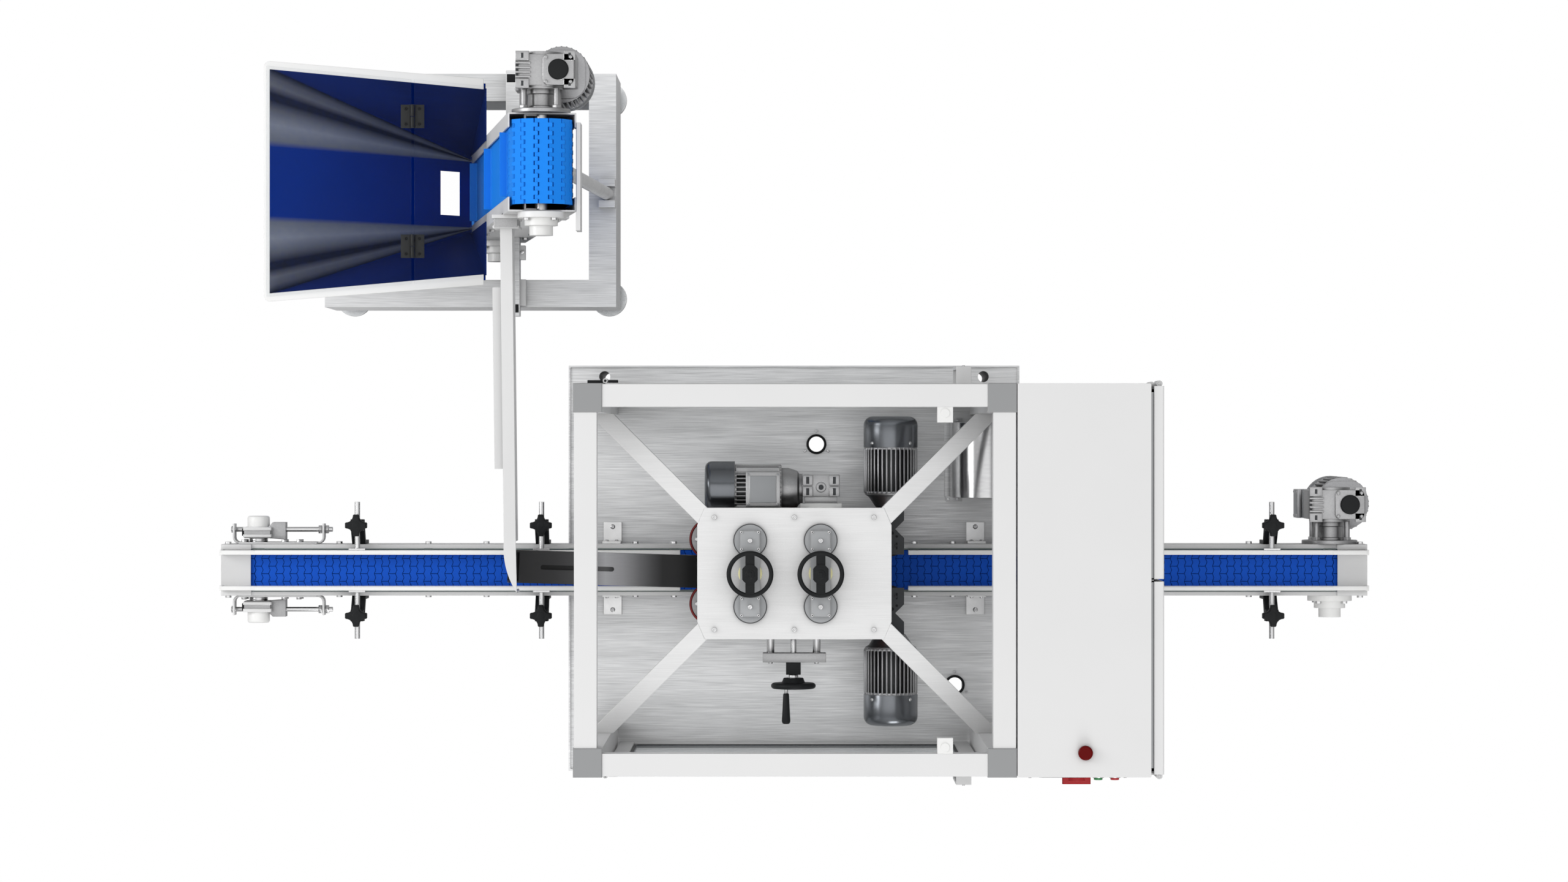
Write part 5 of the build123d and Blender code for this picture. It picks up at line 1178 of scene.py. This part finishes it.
def buildGuideBrackets(values):
    size = SimpleNamespace(**values)
    bm = bmesh.new()
    outer, back, foot = size.outer, size.outer + size.sheet, size.foot
    half, rodY, rodZ = size.half, size.rodY, size.rodZ
    near, far = about(rodY, size.block)
    low, high = about(rodZ, size.block)
    # The arm's side view, drawn in Y and Z, as two webs and a thinner spine between them.
    rise, bend = size.bends
    arm = [
        (outer, foot), (back, foot), (back, rise), (far, low), (far, rodZ - 2), (near, rodZ - 2),
        (near, rodZ - 6), (outer, bend),
    ]
    spine = [
        (outer, foot), (outer + 4, foot), (outer + 4, rise + 2), (far - 6, low + 2), (near, rodZ - 8),
        (outer, bend - 2),
    ]
    sideways = Matrix(((0, 0, 1, 0), (1, 0, 0, 0), (0, 1, 0, 0), (0, 0, 0, 1)))
    for outline, x in ((arm, (-half, -half + 6)), (arm, (2, half)), (spine, (-half + 5, 3))):
        addPrism(bm, outline, *x, 0, sideways)
    # The split block that clamps the rod.
    addBox(bm, about(0, half - 1), (near, far), (rodZ + 1.5, high))
    for side in bothSides:
        addBox(bm, onSide(side, (size.slotHalf, half - 1)), (near, far), (low, rodZ + 2))
    # The star knob on its stem, in two steps.
    addPin(bm, 0, rodY, (high - 1, size.knobLow + 1), 6, 16, 1)
    addPin(bm, 0, rodY, (high - 1, high + 2), 9, 20, 1)
    low, high, reach = size.knobLow, size.knobLow + size.knobRise, size.knobReach
    knob = asPlace((0, rodY, 0))
    wide, narrow = size.lobes
    addPrism(bm, starOutline(reach, *wide), low, high - 3, 0, knob)
    addPrism(bm, starOutline(reach - 2.5, *narrow), low + 10, high, 0, knob)
    addPin(bm, 0, rodY, (high - 1, high + 0.01), 7)
    for z in size.bolts:
        addRod(bm, (0, outer, z), (0, back + 3, z), 5.5, 6, 1)
    places = [asPlace((x, 0, 0)) for x in size.places]
    places += [mirrorY @ spot for spot in places]
    labels = ["black_plastic", "bright_rod"]
    finishPiece("guide_bracket_bodies", bm, labels, stands=["guide_brackets"], places=places, bevel=0.8)


buildGuideBrackets(guideBracket)
print("stage: guide brackets")


# Handwheels

# The stack lists low end, high end, radius, sides and finish of the turned pieces, from the top down.
handwheel = {
    "places": {"handwheel_left": -89.0, "handwheel_right": 52.7}, "rimZ": 1183.0, "radius": 47.0, "rim": 4.5,
    "spokeHalf": 9.2, "hub": (15.5, 20.0), "hubCut": 9.0, "hubZ": (1172.5, 1189.5),
    "stack": (
        (1188.5, 1190.5, 9.0, 24, 0), (1190.1, 1191.9, 5.0, 16, 0), (1155.0, 1178.5, 13.0, 32, 1),
        (1131.3, 1155.5, 8.0, 24, 1), (1131.5, 1135.0, 24.0, 40, 2),
    ),
}


def buildHandwheel(values, body):
    size = SimpleNamespace(**values)
    bm = bmesh.new()
    reach = size.radius - size.rim
    addRing(bm, reach, (size.rim, size.rim), size.rimZ, 12, 56)
    addBox(bm, about(0, size.spokeHalf), about(0, reach), (size.rimZ - size.rim, size.rimZ + size.rim - 1.5))
    hx, hy, cut = *size.hub, size.hubCut
    corner = [(hx, -hy + cut), (hx, hy - cut), (hx - cut, hy), (-hx + cut, hy)]
    addPrism(bm, corner + [(-x, -y) for x, y in corner], *size.hubZ)
    for low, high, radius, sides, index in size.stack:
        addPin(bm, 0, 0, (low, high), radius, sides, index)
    labels = ["black_plastic", "bright_rod", "pale_disc"]
    finishPiece(body + "_rim", bm, labels, body, [body], 0.8, [asPlace((size.places[body], 0, 0))])


for wheelBody in handwheel["places"]:
    buildHandwheel(handwheel, wheelBody)
print("stage: handwheels")


# Shaft take-ups at the tail

takeUp = {
    "left": -1165.0, "right": -975.0, "outer": 53.0, "reach": 95.0, "sheet": 4.0, "round": 14.0,
    "z": 855.0, "earHalf": 16.0, "plateHalf": 28.0, "shaftX": -1113.0, "blockHalf": 27.0,
    "blockFar": 91.0, "capRadius": 23.0, "capFar": 111.0, "screwY": 83.0, "screwRadius": 5.0,
    "screwEnd": -959.0, "bolts": (-1141.0, -1058.0, -1027.0), "boltRise": 18.0,
    "wedge": ((-1092, 65), (-1055, 62), (-1055, 98), (-1082, 98), (-1092, 88)), "wedgeHalf": 15.0,
}


def bracketOutline(size):
    # The bent strap in plan: a long back and two ears with rounded corners.
    left, right, sheet, bend = size.left, size.right, size.sheet, size.round
    first, last = [(x, size.outer + bend) for x in (left + bend, right - bend)]
    outside = [*arcPoints(first, bend, 180, 270, 5), *arcPoints(last, bend, 270, 360, 5)]
    inside = [*arcPoints(last, bend - sheet, 360, 270, 5), *arcPoints(first, bend - sheet, 270, 180, 5)]
    ends = [(right, size.reach), (right - sheet, size.reach)]
    return [(left, size.reach), *outside, *ends, *inside, (left + sheet, size.reach)]


def buildTakeUps(values):
    size = SimpleNamespace(**values)
    bm = bmesh.new()
    z, outer, strap = size.z, size.outer, size.outer + size.sheet
    addPrism(bm, bracketOutline(size), *about(z, size.earHalf))
    addBox(bm, inset((size.left, size.right), size.round), (outer, strap), about(z, size.plateHalf))
    # The bearing block with its flanges, its collar and its cap.
    shaft, half, far, tall, cap = size.shaftX, size.blockHalf, size.blockFar, size.plateHalf, size.capRadius
    addBox(bm, about(shaft, half), (outer + 12, far - 4), about(z, tall - 2), 1)
    for y in ((outer + 14, outer + 20), (far - 10, far - 3)):
        addBox(bm, about(shaft, half + 2), y, about(z, tall))
    addBox(bm, (shaft - half - 5, shaft - half + 1), (outer + 17, far - 6), about(z, tall - 5), 2)
    lying = asPlace((shaft, 0, z), "X", -90)
    addPin(bm, 0, 0, (strap - 1, outer + 13), 19, 32, 3, lying)
    for x, y in circle(15, 6):
        addPin(bm, x, y, (strap + 3, outer + 9), 4.5, 6, 3, lying)
    rim = arcPoints((cap - 5, size.capFar - 5), 5, 0, 90, 5)
    addLathe(bm, [(0, far - 5), (cap, far - 5), *rim, (0, size.capFar)], 40, 4, lying)
    # The screw, its block and its nuts.
    for start, end, radius, sides in (
        (size.left - 5, size.screwEnd, size.screwRadius, 24), (size.left - 4, size.left + 1, 8, 6),
        (size.right - 13, size.right - 6, 9.5, 6), (size.right + 1, size.right + 8, 9.5, 6),
    ):
        addRod(bm, (start, size.screwY, z), (end, size.screwY, z), radius, sides, 3)
    addPrism(bm, size.wedge, *about(z, size.wedgeHalf), 1)
    for x in size.bolts:
        for boltZ in about(z, size.boltRise):
            addRod(bm, (x, strap - 1, boltZ), (x, strap + 5, boltZ), 6, 6, 3)
    labels = ["white_frame", "cast_grey", "black_plastic", "bright_rod", "white_plastic"]
    finishPiece("takeup_units", bm, labels, stands=["takeups"], places=[home, mirrorY], bevel=0.6)


buildTakeUps(takeUp)


# Width adjuster in front of the head

adjuster = {
    "z": 1060.0, "x": -2.0, "blockHalf": 64.0, "near": 163.0, "far": 182.0, "tall": 17.0, "nutHalf": 15.0,
    "nutEnd": 207.0, "rods": (-48.5, 45.0), "rodRadius": 8.0, "carriage": 90.0, "collar": 13.0,
    "wheelNear": 214.0, "wheelFar": 238.0, "wheelRadius": 45.5, "crankEnd": 306.0, "crankX": -16.8,
    "crankZ": 1083.7, "screwRadius": 6.0, "screwEnd": 96.0,
}


def buildCrossbar(values):
    size = SimpleNamespace(**values)
    bm = bmesh.new()
    z, near, far, carriage = size.z, size.near, size.far, size.carriage
    addBox(bm, about(0, size.blockHalf), (-far, -near), about(z, size.tall))
    addBox(bm, about(size.x, size.nutHalf), (-size.nutEnd, -far + 0.5), about(z, size.nutHalf), 1)
    for x in size.rods:
        for start, end, radius, sides in (
            (near + 1, carriage, size.rodRadius, 24), (carriage + 8, carriage, size.collar, 24),
            (far + 3, far - 1, 5, 12),
        ):
            addRod(bm, (x, -start, z), (x, -end, z), radius, sides, 2)
    labels = ["cast_grey", "black_plastic", "bright_rod"]
    finishPiece("adjuster_crossbar", bm, labels, stands=["width_adjuster"], bevel=0.8)


def buildCrankWheel(values):
    size = SimpleNamespace(**values)
    bm = bmesh.new()
    near, far, radius, end = size.wheelNear, size.wheelFar, size.wheelRadius, size.crankEnd
    lying = asPlace((size.x, 0, size.z), "X", 90)
    addLathe(bm, [
        (0, near), (20, near), (24, far - 14), (radius - 12, far - 14),
        *arcPoints((radius - 6, far - 8), 6, -80, 100, 9),
        (radius - 14, far - 4), (radius - 18, far - 8), (18, far - 8), (16, far - 2), (0, far - 2),
    ], 48, 0, lying)
    addPin(bm, 0, 0, (near - 6, near + 1), 10, 24, 1, lying)
    addPin(bm, 0, 0, (size.screwEnd, near), size.screwRadius, 24, 1, lying)
    grip = asPlace((size.crankX, 0, size.crankZ), "X", 90)
    addPin(bm, 0, 0, about(far, 8), 4, 16, 1, grip)
    addLathe(bm, [
        (0, far + 6), (5, far + 6), (6, far + 9), (8, end - 18), (8.8, end - 6), (7.5, end - 1.5),
        (5, end), (0, end),
    ], 24, 0, grip)
    labels = ["black_plastic", "bright_rod"]
    finishPiece("adjuster_handwheel", bm, labels, "adjuster_wheel", ["adjuster_wheel"], 0.6)


buildCrossbar(adjuster)
buildCrankWheel(adjuster)


# Capping discs

disc = {
    "first": -172.0, "pitch": 102.7, "offset": 66.0, "top": 1000.0, "recess": 2.0, "face": 37.5, "edge": 40.1,
    "edgeLine": (1.1, 1.1), "bolts": 6, "boltCircle": 27.0,
}


def buildDiscFaces(values, name, body, spots):
    # The steel face in the rubber rim, its bolts and the red edge line.
    size = SimpleNamespace(**values)
    bm = bmesh.new()
    low = size.top - size.recess
    addPin(bm, 0, 0, (low - 0.5, low + 1.5), size.face, 40)
    bolt = bmesh.new()
    addPin(bolt, size.boltCircle, 0, (low + 1, low + 5), 4, 6)
    addRound(bm, bolt, size.bolts, "bright_rod", 1)
    addRing(bm, size.edge, size.edgeLine, size.top, 6, 48, 2)
    places = [asPlace((size.first + number * size.pitch, side * size.offset, 0)) for number, side in spots]
    finishPiece(name, bm, ["machined_grey", "bright_rod", "rim_red"], body, places=places)


for side, discBody in ((1, "capping_disc_back"), (-1, "capping_disc_front")):
    buildDiscFaces(disc, discBody + "_face", discBody, [(0, side)])
hiddenDiscs = [(number, side) for number in (1, 2, 3) for side in bothSides]
buildDiscFaces(disc, "hidden_disc_faces", "root", hiddenDiscs)
print("stage: take-ups, adjuster and discs")


# Fittings on the head plate and the tray

headFittings = {
    "plateTop": 1131.0, "plateScrews": ((-161.0, 0.0, 160.0), (113.0, -113.0)), "units": (-89.0, 52.7),
    "span": 66.5, "corner": 17.0, "barTop": 1153.0, "padHalf": 19.0, "padSheet": 1.2, "flangeTop": 1141.0,
    "flangeRadius": 33.0, "flangeEdge": (0.9, 0.9),
}
trayFittings = {
    "top": 779.0, "grommets": ((47.0, 260.0), (337.0, -245.0)), "outer": 21.0, "inner": 15.9, "rise": 2.2,
    "thick": 2.6, "lining": 0.55, "liningZ": (-6.0, 2.0), "screwCircle": 28.0, "footX": 380.0,
    "footY": (87.0, 58.0), "footRise": (5.0, 52.0), "footScrew": 10.0,
}
ductFlange = {
    "plates": (((315, 326.5), (150, 305)), ((318, 352), (140, 150.5)), ((318, 352), (304.5, 315))),
    "z": (779.0, 781.5), "screws": ((323, 145), (342, 145), (342, 310), (323, 310)),
}


def unitSpots(size):
    # The four places where the height screws stand.
    return [(x, y) for x in size.units for y in about(0, size.span)]


def buildFlangeRims(values):
    size = SimpleNamespace(**values)
    rims, pads = bmesh.new(), bmesh.new()
    for x, y in unitSpots(size):
        spot = asPlace((x, y, 0))
        addRing(rims, size.flangeRadius, size.flangeEdge, size.flangeTop, 5, 48, 0, spot)
        square = about(0, size.padHalf)
        addBox(pads, square, square, (size.barTop - 0.5, size.barTop + size.padSheet), 0, spot)
    finishPiece("flange_rims", rims, ["dark_grey"])
    finishPiece("bridge_pads", pads, ["bridge_grey"], bevel=0.5)


def buildGrommets(values):
    # A rounded ring on the tray and a thin lining through each cable hole.
    size = SimpleNamespace(**values)
    bm = bmesh.new()
    inner, half, top = size.inner, (size.outer - size.inner) / 2, size.top
    wall, low, high = inner + size.lining, *(top + offset for offset in size.liningZ)
    addRing(bm, inner + half, (half, size.thick), top + size.rise, 8)
    addLathe(bm, [(inner, low), (wall, low), (wall, high), (inner, high), (inner, low)], 48)
    places = [asPlace((x, y, 0)) for x, y in size.grommets]
    finishPiece("grommet_rings", bm, ["black_plastic"], places=places)


def buildDuctFlange(values):
    # The strip beside the duct and its two tabs.
    bm = bmesh.new()
    for x, y in values["plates"]:
        addBox(bm, x, y, values["z"])
    finishPiece("duct_flange", bm, ["brushed_stainless"], bevel=0.5)
    addScrews("duct_screws", "small", aimed([(x, y, values["z"][1]) for x, y in values["screws"]]))


def buildHeadScrews(headValues, trayValues):
    head, tray = SimpleNamespace(**headValues), SimpleNamespace(**trayValues)
    alongX, alongY = head.plateScrews
    spots = [(x, y, head.plateTop) for y in alongY for x in alongX]
    spots += [(x, y, head.barTop + head.padSheet) for x, y in unitSpots(head)]
    addScrews("plate_screws", "cap", aimed(spots))
    corner = head.corner
    units = unitSpots(head)
    spots = [(x + sx * corner, y + sy * corner, head.barTop) for x, y in units for sx, sy in fourCorners]
    ring = circle(tray.screwCircle, 3, 90)
    spots += [(x + dx, y + dy, tray.top) for x, y in tray.grommets for dx, dy in ring]
    addScrews("corner_screws", "small", aimed(spots))
    (footY, webY), (footZ, webZ) = tray.footY, tray.footRise
    points = aimed([(sx * tray.footX, sy * footY, tray.top + footZ) for sx, sy in fourCorners])
    for sx, sy in fourCorners:
        for x in about(tray.footX, tray.footScrew):
            points.append(((sx * x, sy * webY, tray.top + webZ), (0, sy, 0)))
    addScrews("foot_screws", "button", points)


buildFlangeRims(headFittings)
buildGrommets(trayFittings)
buildDuctFlange(ductFlange)
buildHeadScrews(headFittings, trayFittings)
print("stage: head and tray fittings")


# Conveyor fittings

# Every span of Y is measured outwards from the belt's middle line, and every span of X towards one end.
conveyorFittings = {
    "strip": ((42.2, 44.6), (894.5, 901.5)), "stripEnd": 1122.0,
    "railEnds": (
        ((1122.0, 1184.2), (42.2, 52.6), (899.5, 907.5), 0),
        ((1108.0, 1180.0), (32.4, 41.2), (906.2, 938.8), 1),
        ((1179.0, 1184.2), (31.4, 42.2), (906.2, 934.8), 1),
    ),
    "outer": 53.0, "boltX": (-946.0, -640.0, -330.0, 330.0, 640.0, 946.0), "boltZ": 846.0,
    "tieX": (-760.0, -250.0, 250.0, 760.0), "tieZ": 855.0, "coverX": (-1172.5, 1172.5), "coverZ": 882.0,
}


def buildConveyorFittings(values):
    size = SimpleNamespace(**values)
    strips, rails = bmesh.new(), bmesh.new()
    for side in bothSides:
        addBox(strips, about(0, size.stripEnd), onSide(side, size.strip[0]), size.strip[1])
        for x, y, z, index in size.railEnds:
            for end in bothSides:
                addBox(rails, onSide(end, x), onSide(side, y), z, index)
    finishPiece("wear_strips", strips, ["strip_green"])
    finishPiece("end_rails", rails, ["white_frame", "white_plastic"], bevel=0.5)
    rows = ((size.boltX, size.boltZ), (size.tieX, size.tieZ), (size.coverX, size.coverZ))
    points = [((x, side * size.outer, z), (0, side, 0)) for row, z in rows for x in row for side in bothSides]
    addScrews("conveyor_bolts", "hex", points)


buildConveyorFittings(conveyorFittings)


# Elevator fittings

# Angles and channel bolts are placed from the head shaft, down the leaning sides.
elevatorFittings = {
    "half": 96.0, "boltX": (-48.0, 48.0), "boltStep": 170.0, "headBolts": (-20.0, 24.0), "headBoltZ": 14.0,
    "angles": (((-34, -31), (74, 93.2)), ((-33, -10), (90, 92.9))), "angleZ": (-30, 20),
    "bearingBolts": 38.0, "flange": 12.0, "drive": ((1113.0, 855.0), -1, -53.0),
}
armBrackets = {
    "boxes": (
        ((-601, -587), (563, 621), (356.5, 387), 0), ((-607, -600), (567, 617), (356.5, 381), 1),
        ((-600.5, -588), (664, 695), (367, 395), 0), ((-628, -602), (548, 566), (396.5, 397.4), 1),
    ),
    "bolt": (-594, 680, (394, 399), 5.0),
}
outletFittings = {
    "flanges": (((-597, -543), (706, 713.5), (1199, 1300)), ((-596, -544), (686.5, 692), (1203, 1296))),
    "boltX": (-593, -547), "boltY": 706, "boltZ": (1210, 1250, 1290),
}


def buildElevatorFittings(beltValues, values):
    belt, size = SimpleNamespace(**beltValues), SimpleNamespace(**values)
    x, middleY, z = belt.head
    leaning = asPlace(belt.head, "Y", belt.tilt)
    turn = leaning.to_3x3()
    rows = int(belt.span / size.boltStep)
    spots = [(boltX, -row * size.boltStep) for boltX in size.boltX for row in range(1, rows)]
    spots += [(boltX, size.headBoltZ) for boltX in size.headBolts]
    points, angles = [], bmesh.new()
    for side in bothSides:
        aim = turn @ Vector((0, side, 0))
        points += [(leaning @ Vector((along, side * size.half, rise)), aim) for along, rise in spots]
        for spanX, spanY in size.angles:
            addBox(angles, spanX, onSide(side, spanY), size.angleZ, 0, leaning)
    addScrews("channel_bolts", "hex", points)
    finishPiece("head_angles", angles, ["white_frame"], bevel=0.4)
    # Bolts round the four flanged bearings, straight to the world's axes.
    lean = math.radians(belt.tilt)
    tail = (x - belt.span * math.sin(lean), z - belt.span * math.cos(lean))
    front, back = about(middleY, size.half)
    bearings = (((x, z), -1, front), (tail, -1, front), (tail, 1, back), size.drive)
    points = [
        ((bx + dx, face + side * size.flange, bz + dz), (0, side, 0))
        for (bx, bz), side, face in bearings for dx, dz in circle(size.bearingBolts, 4, 45)
    ]
    addScrews("bearing_bolts", "hex", points)


def buildArmBrackets(beltValues, values):
    # The brackets of the struts' arms, alike in front of the elevator's middle and behind it.
    bm = bmesh.new()
    for box in values["boxes"]:
        addBox(bm, *box)
    addPin(bm, *values["bolt"], 6, 2)
    opposite = asPlace((0, 2 * beltValues["head"][1], 0)) @ mirrorY
    labels = ["white_frame", "black_plastic", "bright_rod"]
    finishPiece("arm_brackets", bm, labels, places=[home, opposite], bevel=0.8)


def buildOutletFittings(values):
    bm = bmesh.new()
    for box in values["flanges"]:
        addBox(bm, *box)
    finishPiece("outlet_flanges", bm, ["white_frame"], bevel=0.8)
    spots = [(x, values["boltY"], z) for x in values["boltX"] for z in values["boltZ"]]
    addScrews("outlet_bolts", "small", aimed(spots, (0, -1, 0)))


buildElevatorFittings(linkBelt, elevatorFittings)
buildArmBrackets(linkBelt, armBrackets)
buildOutletFittings(outletFittings)
print("stage: conveyor and elevator fittings")


# Doors, cabinet and operator panel

doorTrim = {
    "half": 334.0, "low": 817.0, "high": 1460.5, "y": 370.25, "sheet": 7.0, "width": 6.0, "seat": 0.5,
    "handleX": 335.0, "handleY": 414.5, "handleZ": 1180.0, "handleHalf": 68.0,
}
cabinetTrim = {
    "x": (681.5, 686.9), "half": 366.0, "z": (1258.0, 1533.0), "width": 6.0,
    "middle": ((-4.0, -1.0), (1.0, 4.0)),
}
panelControls = {
    "y": -379.0,
    "boxes": (((470, 560), (-2.0, 0.5), (1455, 1495), 0), ((475, 555), (-2.6, -1.5), (1460, 1490), 1)),
    "buttons": ((585, 2), (617, 3)), "buttonZ": 1475.0,
    "buttonSizes": ((12, (-0.5, 4), 1.5), (8.5, (3.5, 8), 1)),
    "knobs": ((480, 0), (515, 0), (580, 0), (615, 0)), "knobZ": 1330.0,
    "knobSizes": ((10, (-0.5, 3.5), 1), (7, (3, 6.5), 1)), "screws": ((452, 635), (1296, 1499)),
}
interlock = {
    "face": (287.5, 320.0, (1538.5, 1540.0), 9.0), "lever": ((272, 303), (333, 335), (1534, 1538.6)),
}


def buildDoorTrim(values, name, side):
    size = SimpleNamespace(**values)
    bm = bmesh.new()
    y = about(side * size.y, size.sheet / 2)
    half, low, high, width, seat = size.half, size.low, size.high, size.width, size.seat
    for x in ((-half - seat, -half + width), (half - width, half + seat)):
        addBox(bm, x, y, (low - seat, high + seat))
    for z in ((low - seat, low + width), (high - width, high + seat)):
        addBox(bm, about(0, half - width + seat), y, z)
    finishPiece(name + "_gasket", bm, ["black_plastic"], name, bevel=0.5)
    spots = [(size.handleX, side * size.handleY, z) for z in about(size.handleZ, size.handleHalf)]
    addScrews(name + "_screws", "small", aimed(spots, (0, side, 0)), "bright_rod", name)


def buildDoorSeal(values):
    # The seal that the cabinet's doors close on.
    size = SimpleNamespace(**values)
    bm = bmesh.new()
    half, width, (low, high) = size.half, size.width, size.z
    for y in ((-half, -half + width), *size.middle, (half - width, half)):
        addBox(bm, size.x, y, size.z)
    for z in ((low, low + width), (high - width, high)):
        addBox(bm, size.x, about(0, half), z)
    finishPiece("door_seal", bm, ["panel_grey"])


def buildPanelControls(values):
    # The plain display, buttons and knobs, each a collar with a smaller cap.
    size = SimpleNamespace(**values)
    bm = bmesh.new()
    for x, depth, z, index in size.boxes:
        addBox(bm, x, [size.y + offset for offset in depth], z, index)
    for row, z, (collar, cap), sides in (
        (size.buttons, size.buttonZ, size.buttonSizes, 32), (size.knobs, size.knobZ, size.knobSizes, 28),
    ):
        for x, index in row:
            spot = asPlace((x, size.y, z), "X", 90)
            for (radius, span, cut), finish in ((collar, 4), (cap, index)):
                addStud(bm, radius, span, (cut, 1), sides, finish, spot)
    labels = ["black_plastic", "screen_glass", "button_green", "signal_red", "bright_rod"]
    finishPiece("panel_controls", bm, labels)
    spots = [(x, size.y, z) for x in size.screws[0] for z in size.screws[1]]
    addScrews("panel_screws", "small", aimed(spots, (0, -1, 0)))


def buildInterlocks(values):
    # A round sensor face on each block, and the lever plate beside the door's free edge.
    bm = bmesh.new()
    x, faceY, z, radius = values["face"]
    leverX, leverY, leverZ = values["lever"]
    for side in bothSides:
        addPin(bm, x, side * faceY, z, radius, 32)
        addBox(bm, leverX, onSide(side, leverY), leverZ, 1)
    finishPiece("interlock_faces", bm, ["white_plastic", "black_plastic"])


buildDoorTrim(doorTrim, "front_door", -1)
buildDoorTrim(doorTrim, "back_door", 1)
buildDoorSeal(cabinetTrim)
buildPanelControls(panelControls)
buildInterlocks(interlock)
print("stage: doors and cabinet")


# Hinges, hopper edge, side units and feet

lidHinge = {
    "split": -796.0, "places": (673.0, 944.0), "near": 4.5, "half": 24.5, "z": (820.6, 823.7), "pinZ": 826.5,
    "knuckle": 4.4, "screwX": 14.0, "screwY": 16.0,
}
doorHinge = {
    "heights": (880.0, 1400.0), "post": (-404.0, -374.0), "door": (-362.0, -343.5), "y": (379.3, 385.2),
    "below": (-24.0, -2.0), "above": (1.0, 23.0),
}
hopperRim = {
    "left": -1095.0, "front": 575.0, "back": 1043.0, "rightFront": 614.5, "rightBack": 1001.0,
    "right": -648.3, "width": 12.2, "side": 17.0, "foot": 22.0, "low": 812.8, "high": 816.4,
    "round": 12.0,
}
sideUnit = {
    "top": 981.0, "screws": ((-135, 60), (-135, 118), (40, 118), (208, 118), (208, 52)),
    "slotZ": (980.5, 981.3), "marks": ((201, 78, 3.5), (210, 71, 2.5)),
    "slot": ((208.5, 211.5), (45, 58)),
}
footNut = {
    "machine": (397.0, 349.5), "elevator": ((-1001.0, -420.0), (591.0, 1044.0)), "nut": ((97.0, 110.0), 16.0),
    "cone": ((17.5, 30.0), 17.0, 12.0),
}


def buildLidHinges(values):
    # Leaves and knuckles on the fixed lid and on the leaf that opens, which meet at the split.
    size = SimpleNamespace(**values)
    for side, body, name in ((1, "root", "lid_hinge"), (-1, "lid_leaf", "lid_leaf_hinge")):
        bm = bmesh.new()
        spots = []
        for y in size.places:
            low, high = (y - size.half, y - 1) if side > 0 else (y, y + size.half)
            leaf = sorted((size.split + side * size.near, size.split + side * size.half))
            addBox(bm, leaf, about(y, size.half), size.z)
            addRod(bm, (size.split, low, size.pinZ), (size.split, high, size.pinZ), size.knuckle, 20)
            spots += [(size.split + side * size.screwX, edge, size.z[1]) for edge in about(y, size.screwY)]
        finishPiece(name + "_leaves", bm, ["hinge_grey"], body, bevel=0.5)
        addScrews(name + "_screws", "small", aimed(spots), "black_plastic", body)


def buildDoorHinges(values):
    # The thick outer straps of the door hinges: one on the post and one on the door.
    for part, body, sides, span in (
        ("post", "root", bothSides, "below"), ("door", "back_door", (1,), "above"),
        ("door", "front_door", (-1,), "above"),
    ):
        bm = bmesh.new()
        for height in values["heights"]:
            z = [height + offset for offset in values[span]]
            for side in sides:
                addBox(bm, values[part], onSide(side, values["y"]), z)
        owner = "frame" if body == "root" else body
        finishPiece(owner + "_hinge_straps", bm, ["black_plastic"], body, bevel=0.8)


def buildHopperRim(values):
    # The white folded edge on three sides of the mouth.
    size = SimpleNamespace(**values)
    bend, right = size.round, size.right
    edge, side = size.left - size.width + bend, size.side - bend
    outer = [
        (right, size.rightBack + size.foot), *arcPoints((edge, size.back + side), bend, 90, 180, 5),
        *arcPoints((edge, size.front - side), bend, 180, 270, 5), (right, size.rightFront - size.foot),
    ]
    inner = [(right, size.rightFront), (size.left, size.front)]
    inner += [(size.left, size.back), (right, size.rightBack)]
    bm = bmesh.new()
    addPrism(bm, outer + inner, size.low, size.high)
    finishPiece("hopper_rim", bm, ["white_plastic"], bevel=0.4)


def buildSideUnitFittings(values):
    size = SimpleNamespace(**values)
    spots = [(x, side * y, size.top) for x, y in size.screws for side in bothSides]
    addScrews("side_unit_screws", "small", aimed(spots), "dark_grey")
    # The black slot and round marks stand for openings in the top: painted shade.
    bm = bmesh.new()
    for side in bothSides:
        for x, y, radius in size.marks:
            addPin(bm, x, side * y, size.slotZ, radius, 16)
        addBox(bm, size.slot[0], onSide(side, size.slot[1]), size.slotZ)
    finishPiece("side_unit_slots", bm, ["black_plastic"])


def buildFootNuts(values):
    # A lock nut on each levelling stem, under the leg or rail that it carries, and the cone on its foot.
    bm = bmesh.new()
    footX, footY = values["machine"]
    spots = [(sx * footX, sy * footY) for sx, sy in fourCorners]
    spots += [(x, y) for x in values["elevator"][0] for y in values["elevator"][1]]
    (low, high), radius, endRadius = values["cone"]
    for x, y in spots:
        addPin(bm, x, y, *values["nut"], 6)
        addRod(bm, (x, y, low), (x, y, high), radius, endRadius=endRadius)
    finishPiece("foot_nuts", bm, ["bright_rod"], bevel=0.6)


buildLidHinges(lidHinge)
buildHopperRim(hopperRim)
buildDoorHinges(doorHinge)
buildSideUnitFittings(sideUnit)
buildFootNuts(footNut)
print("stage: small fittings")
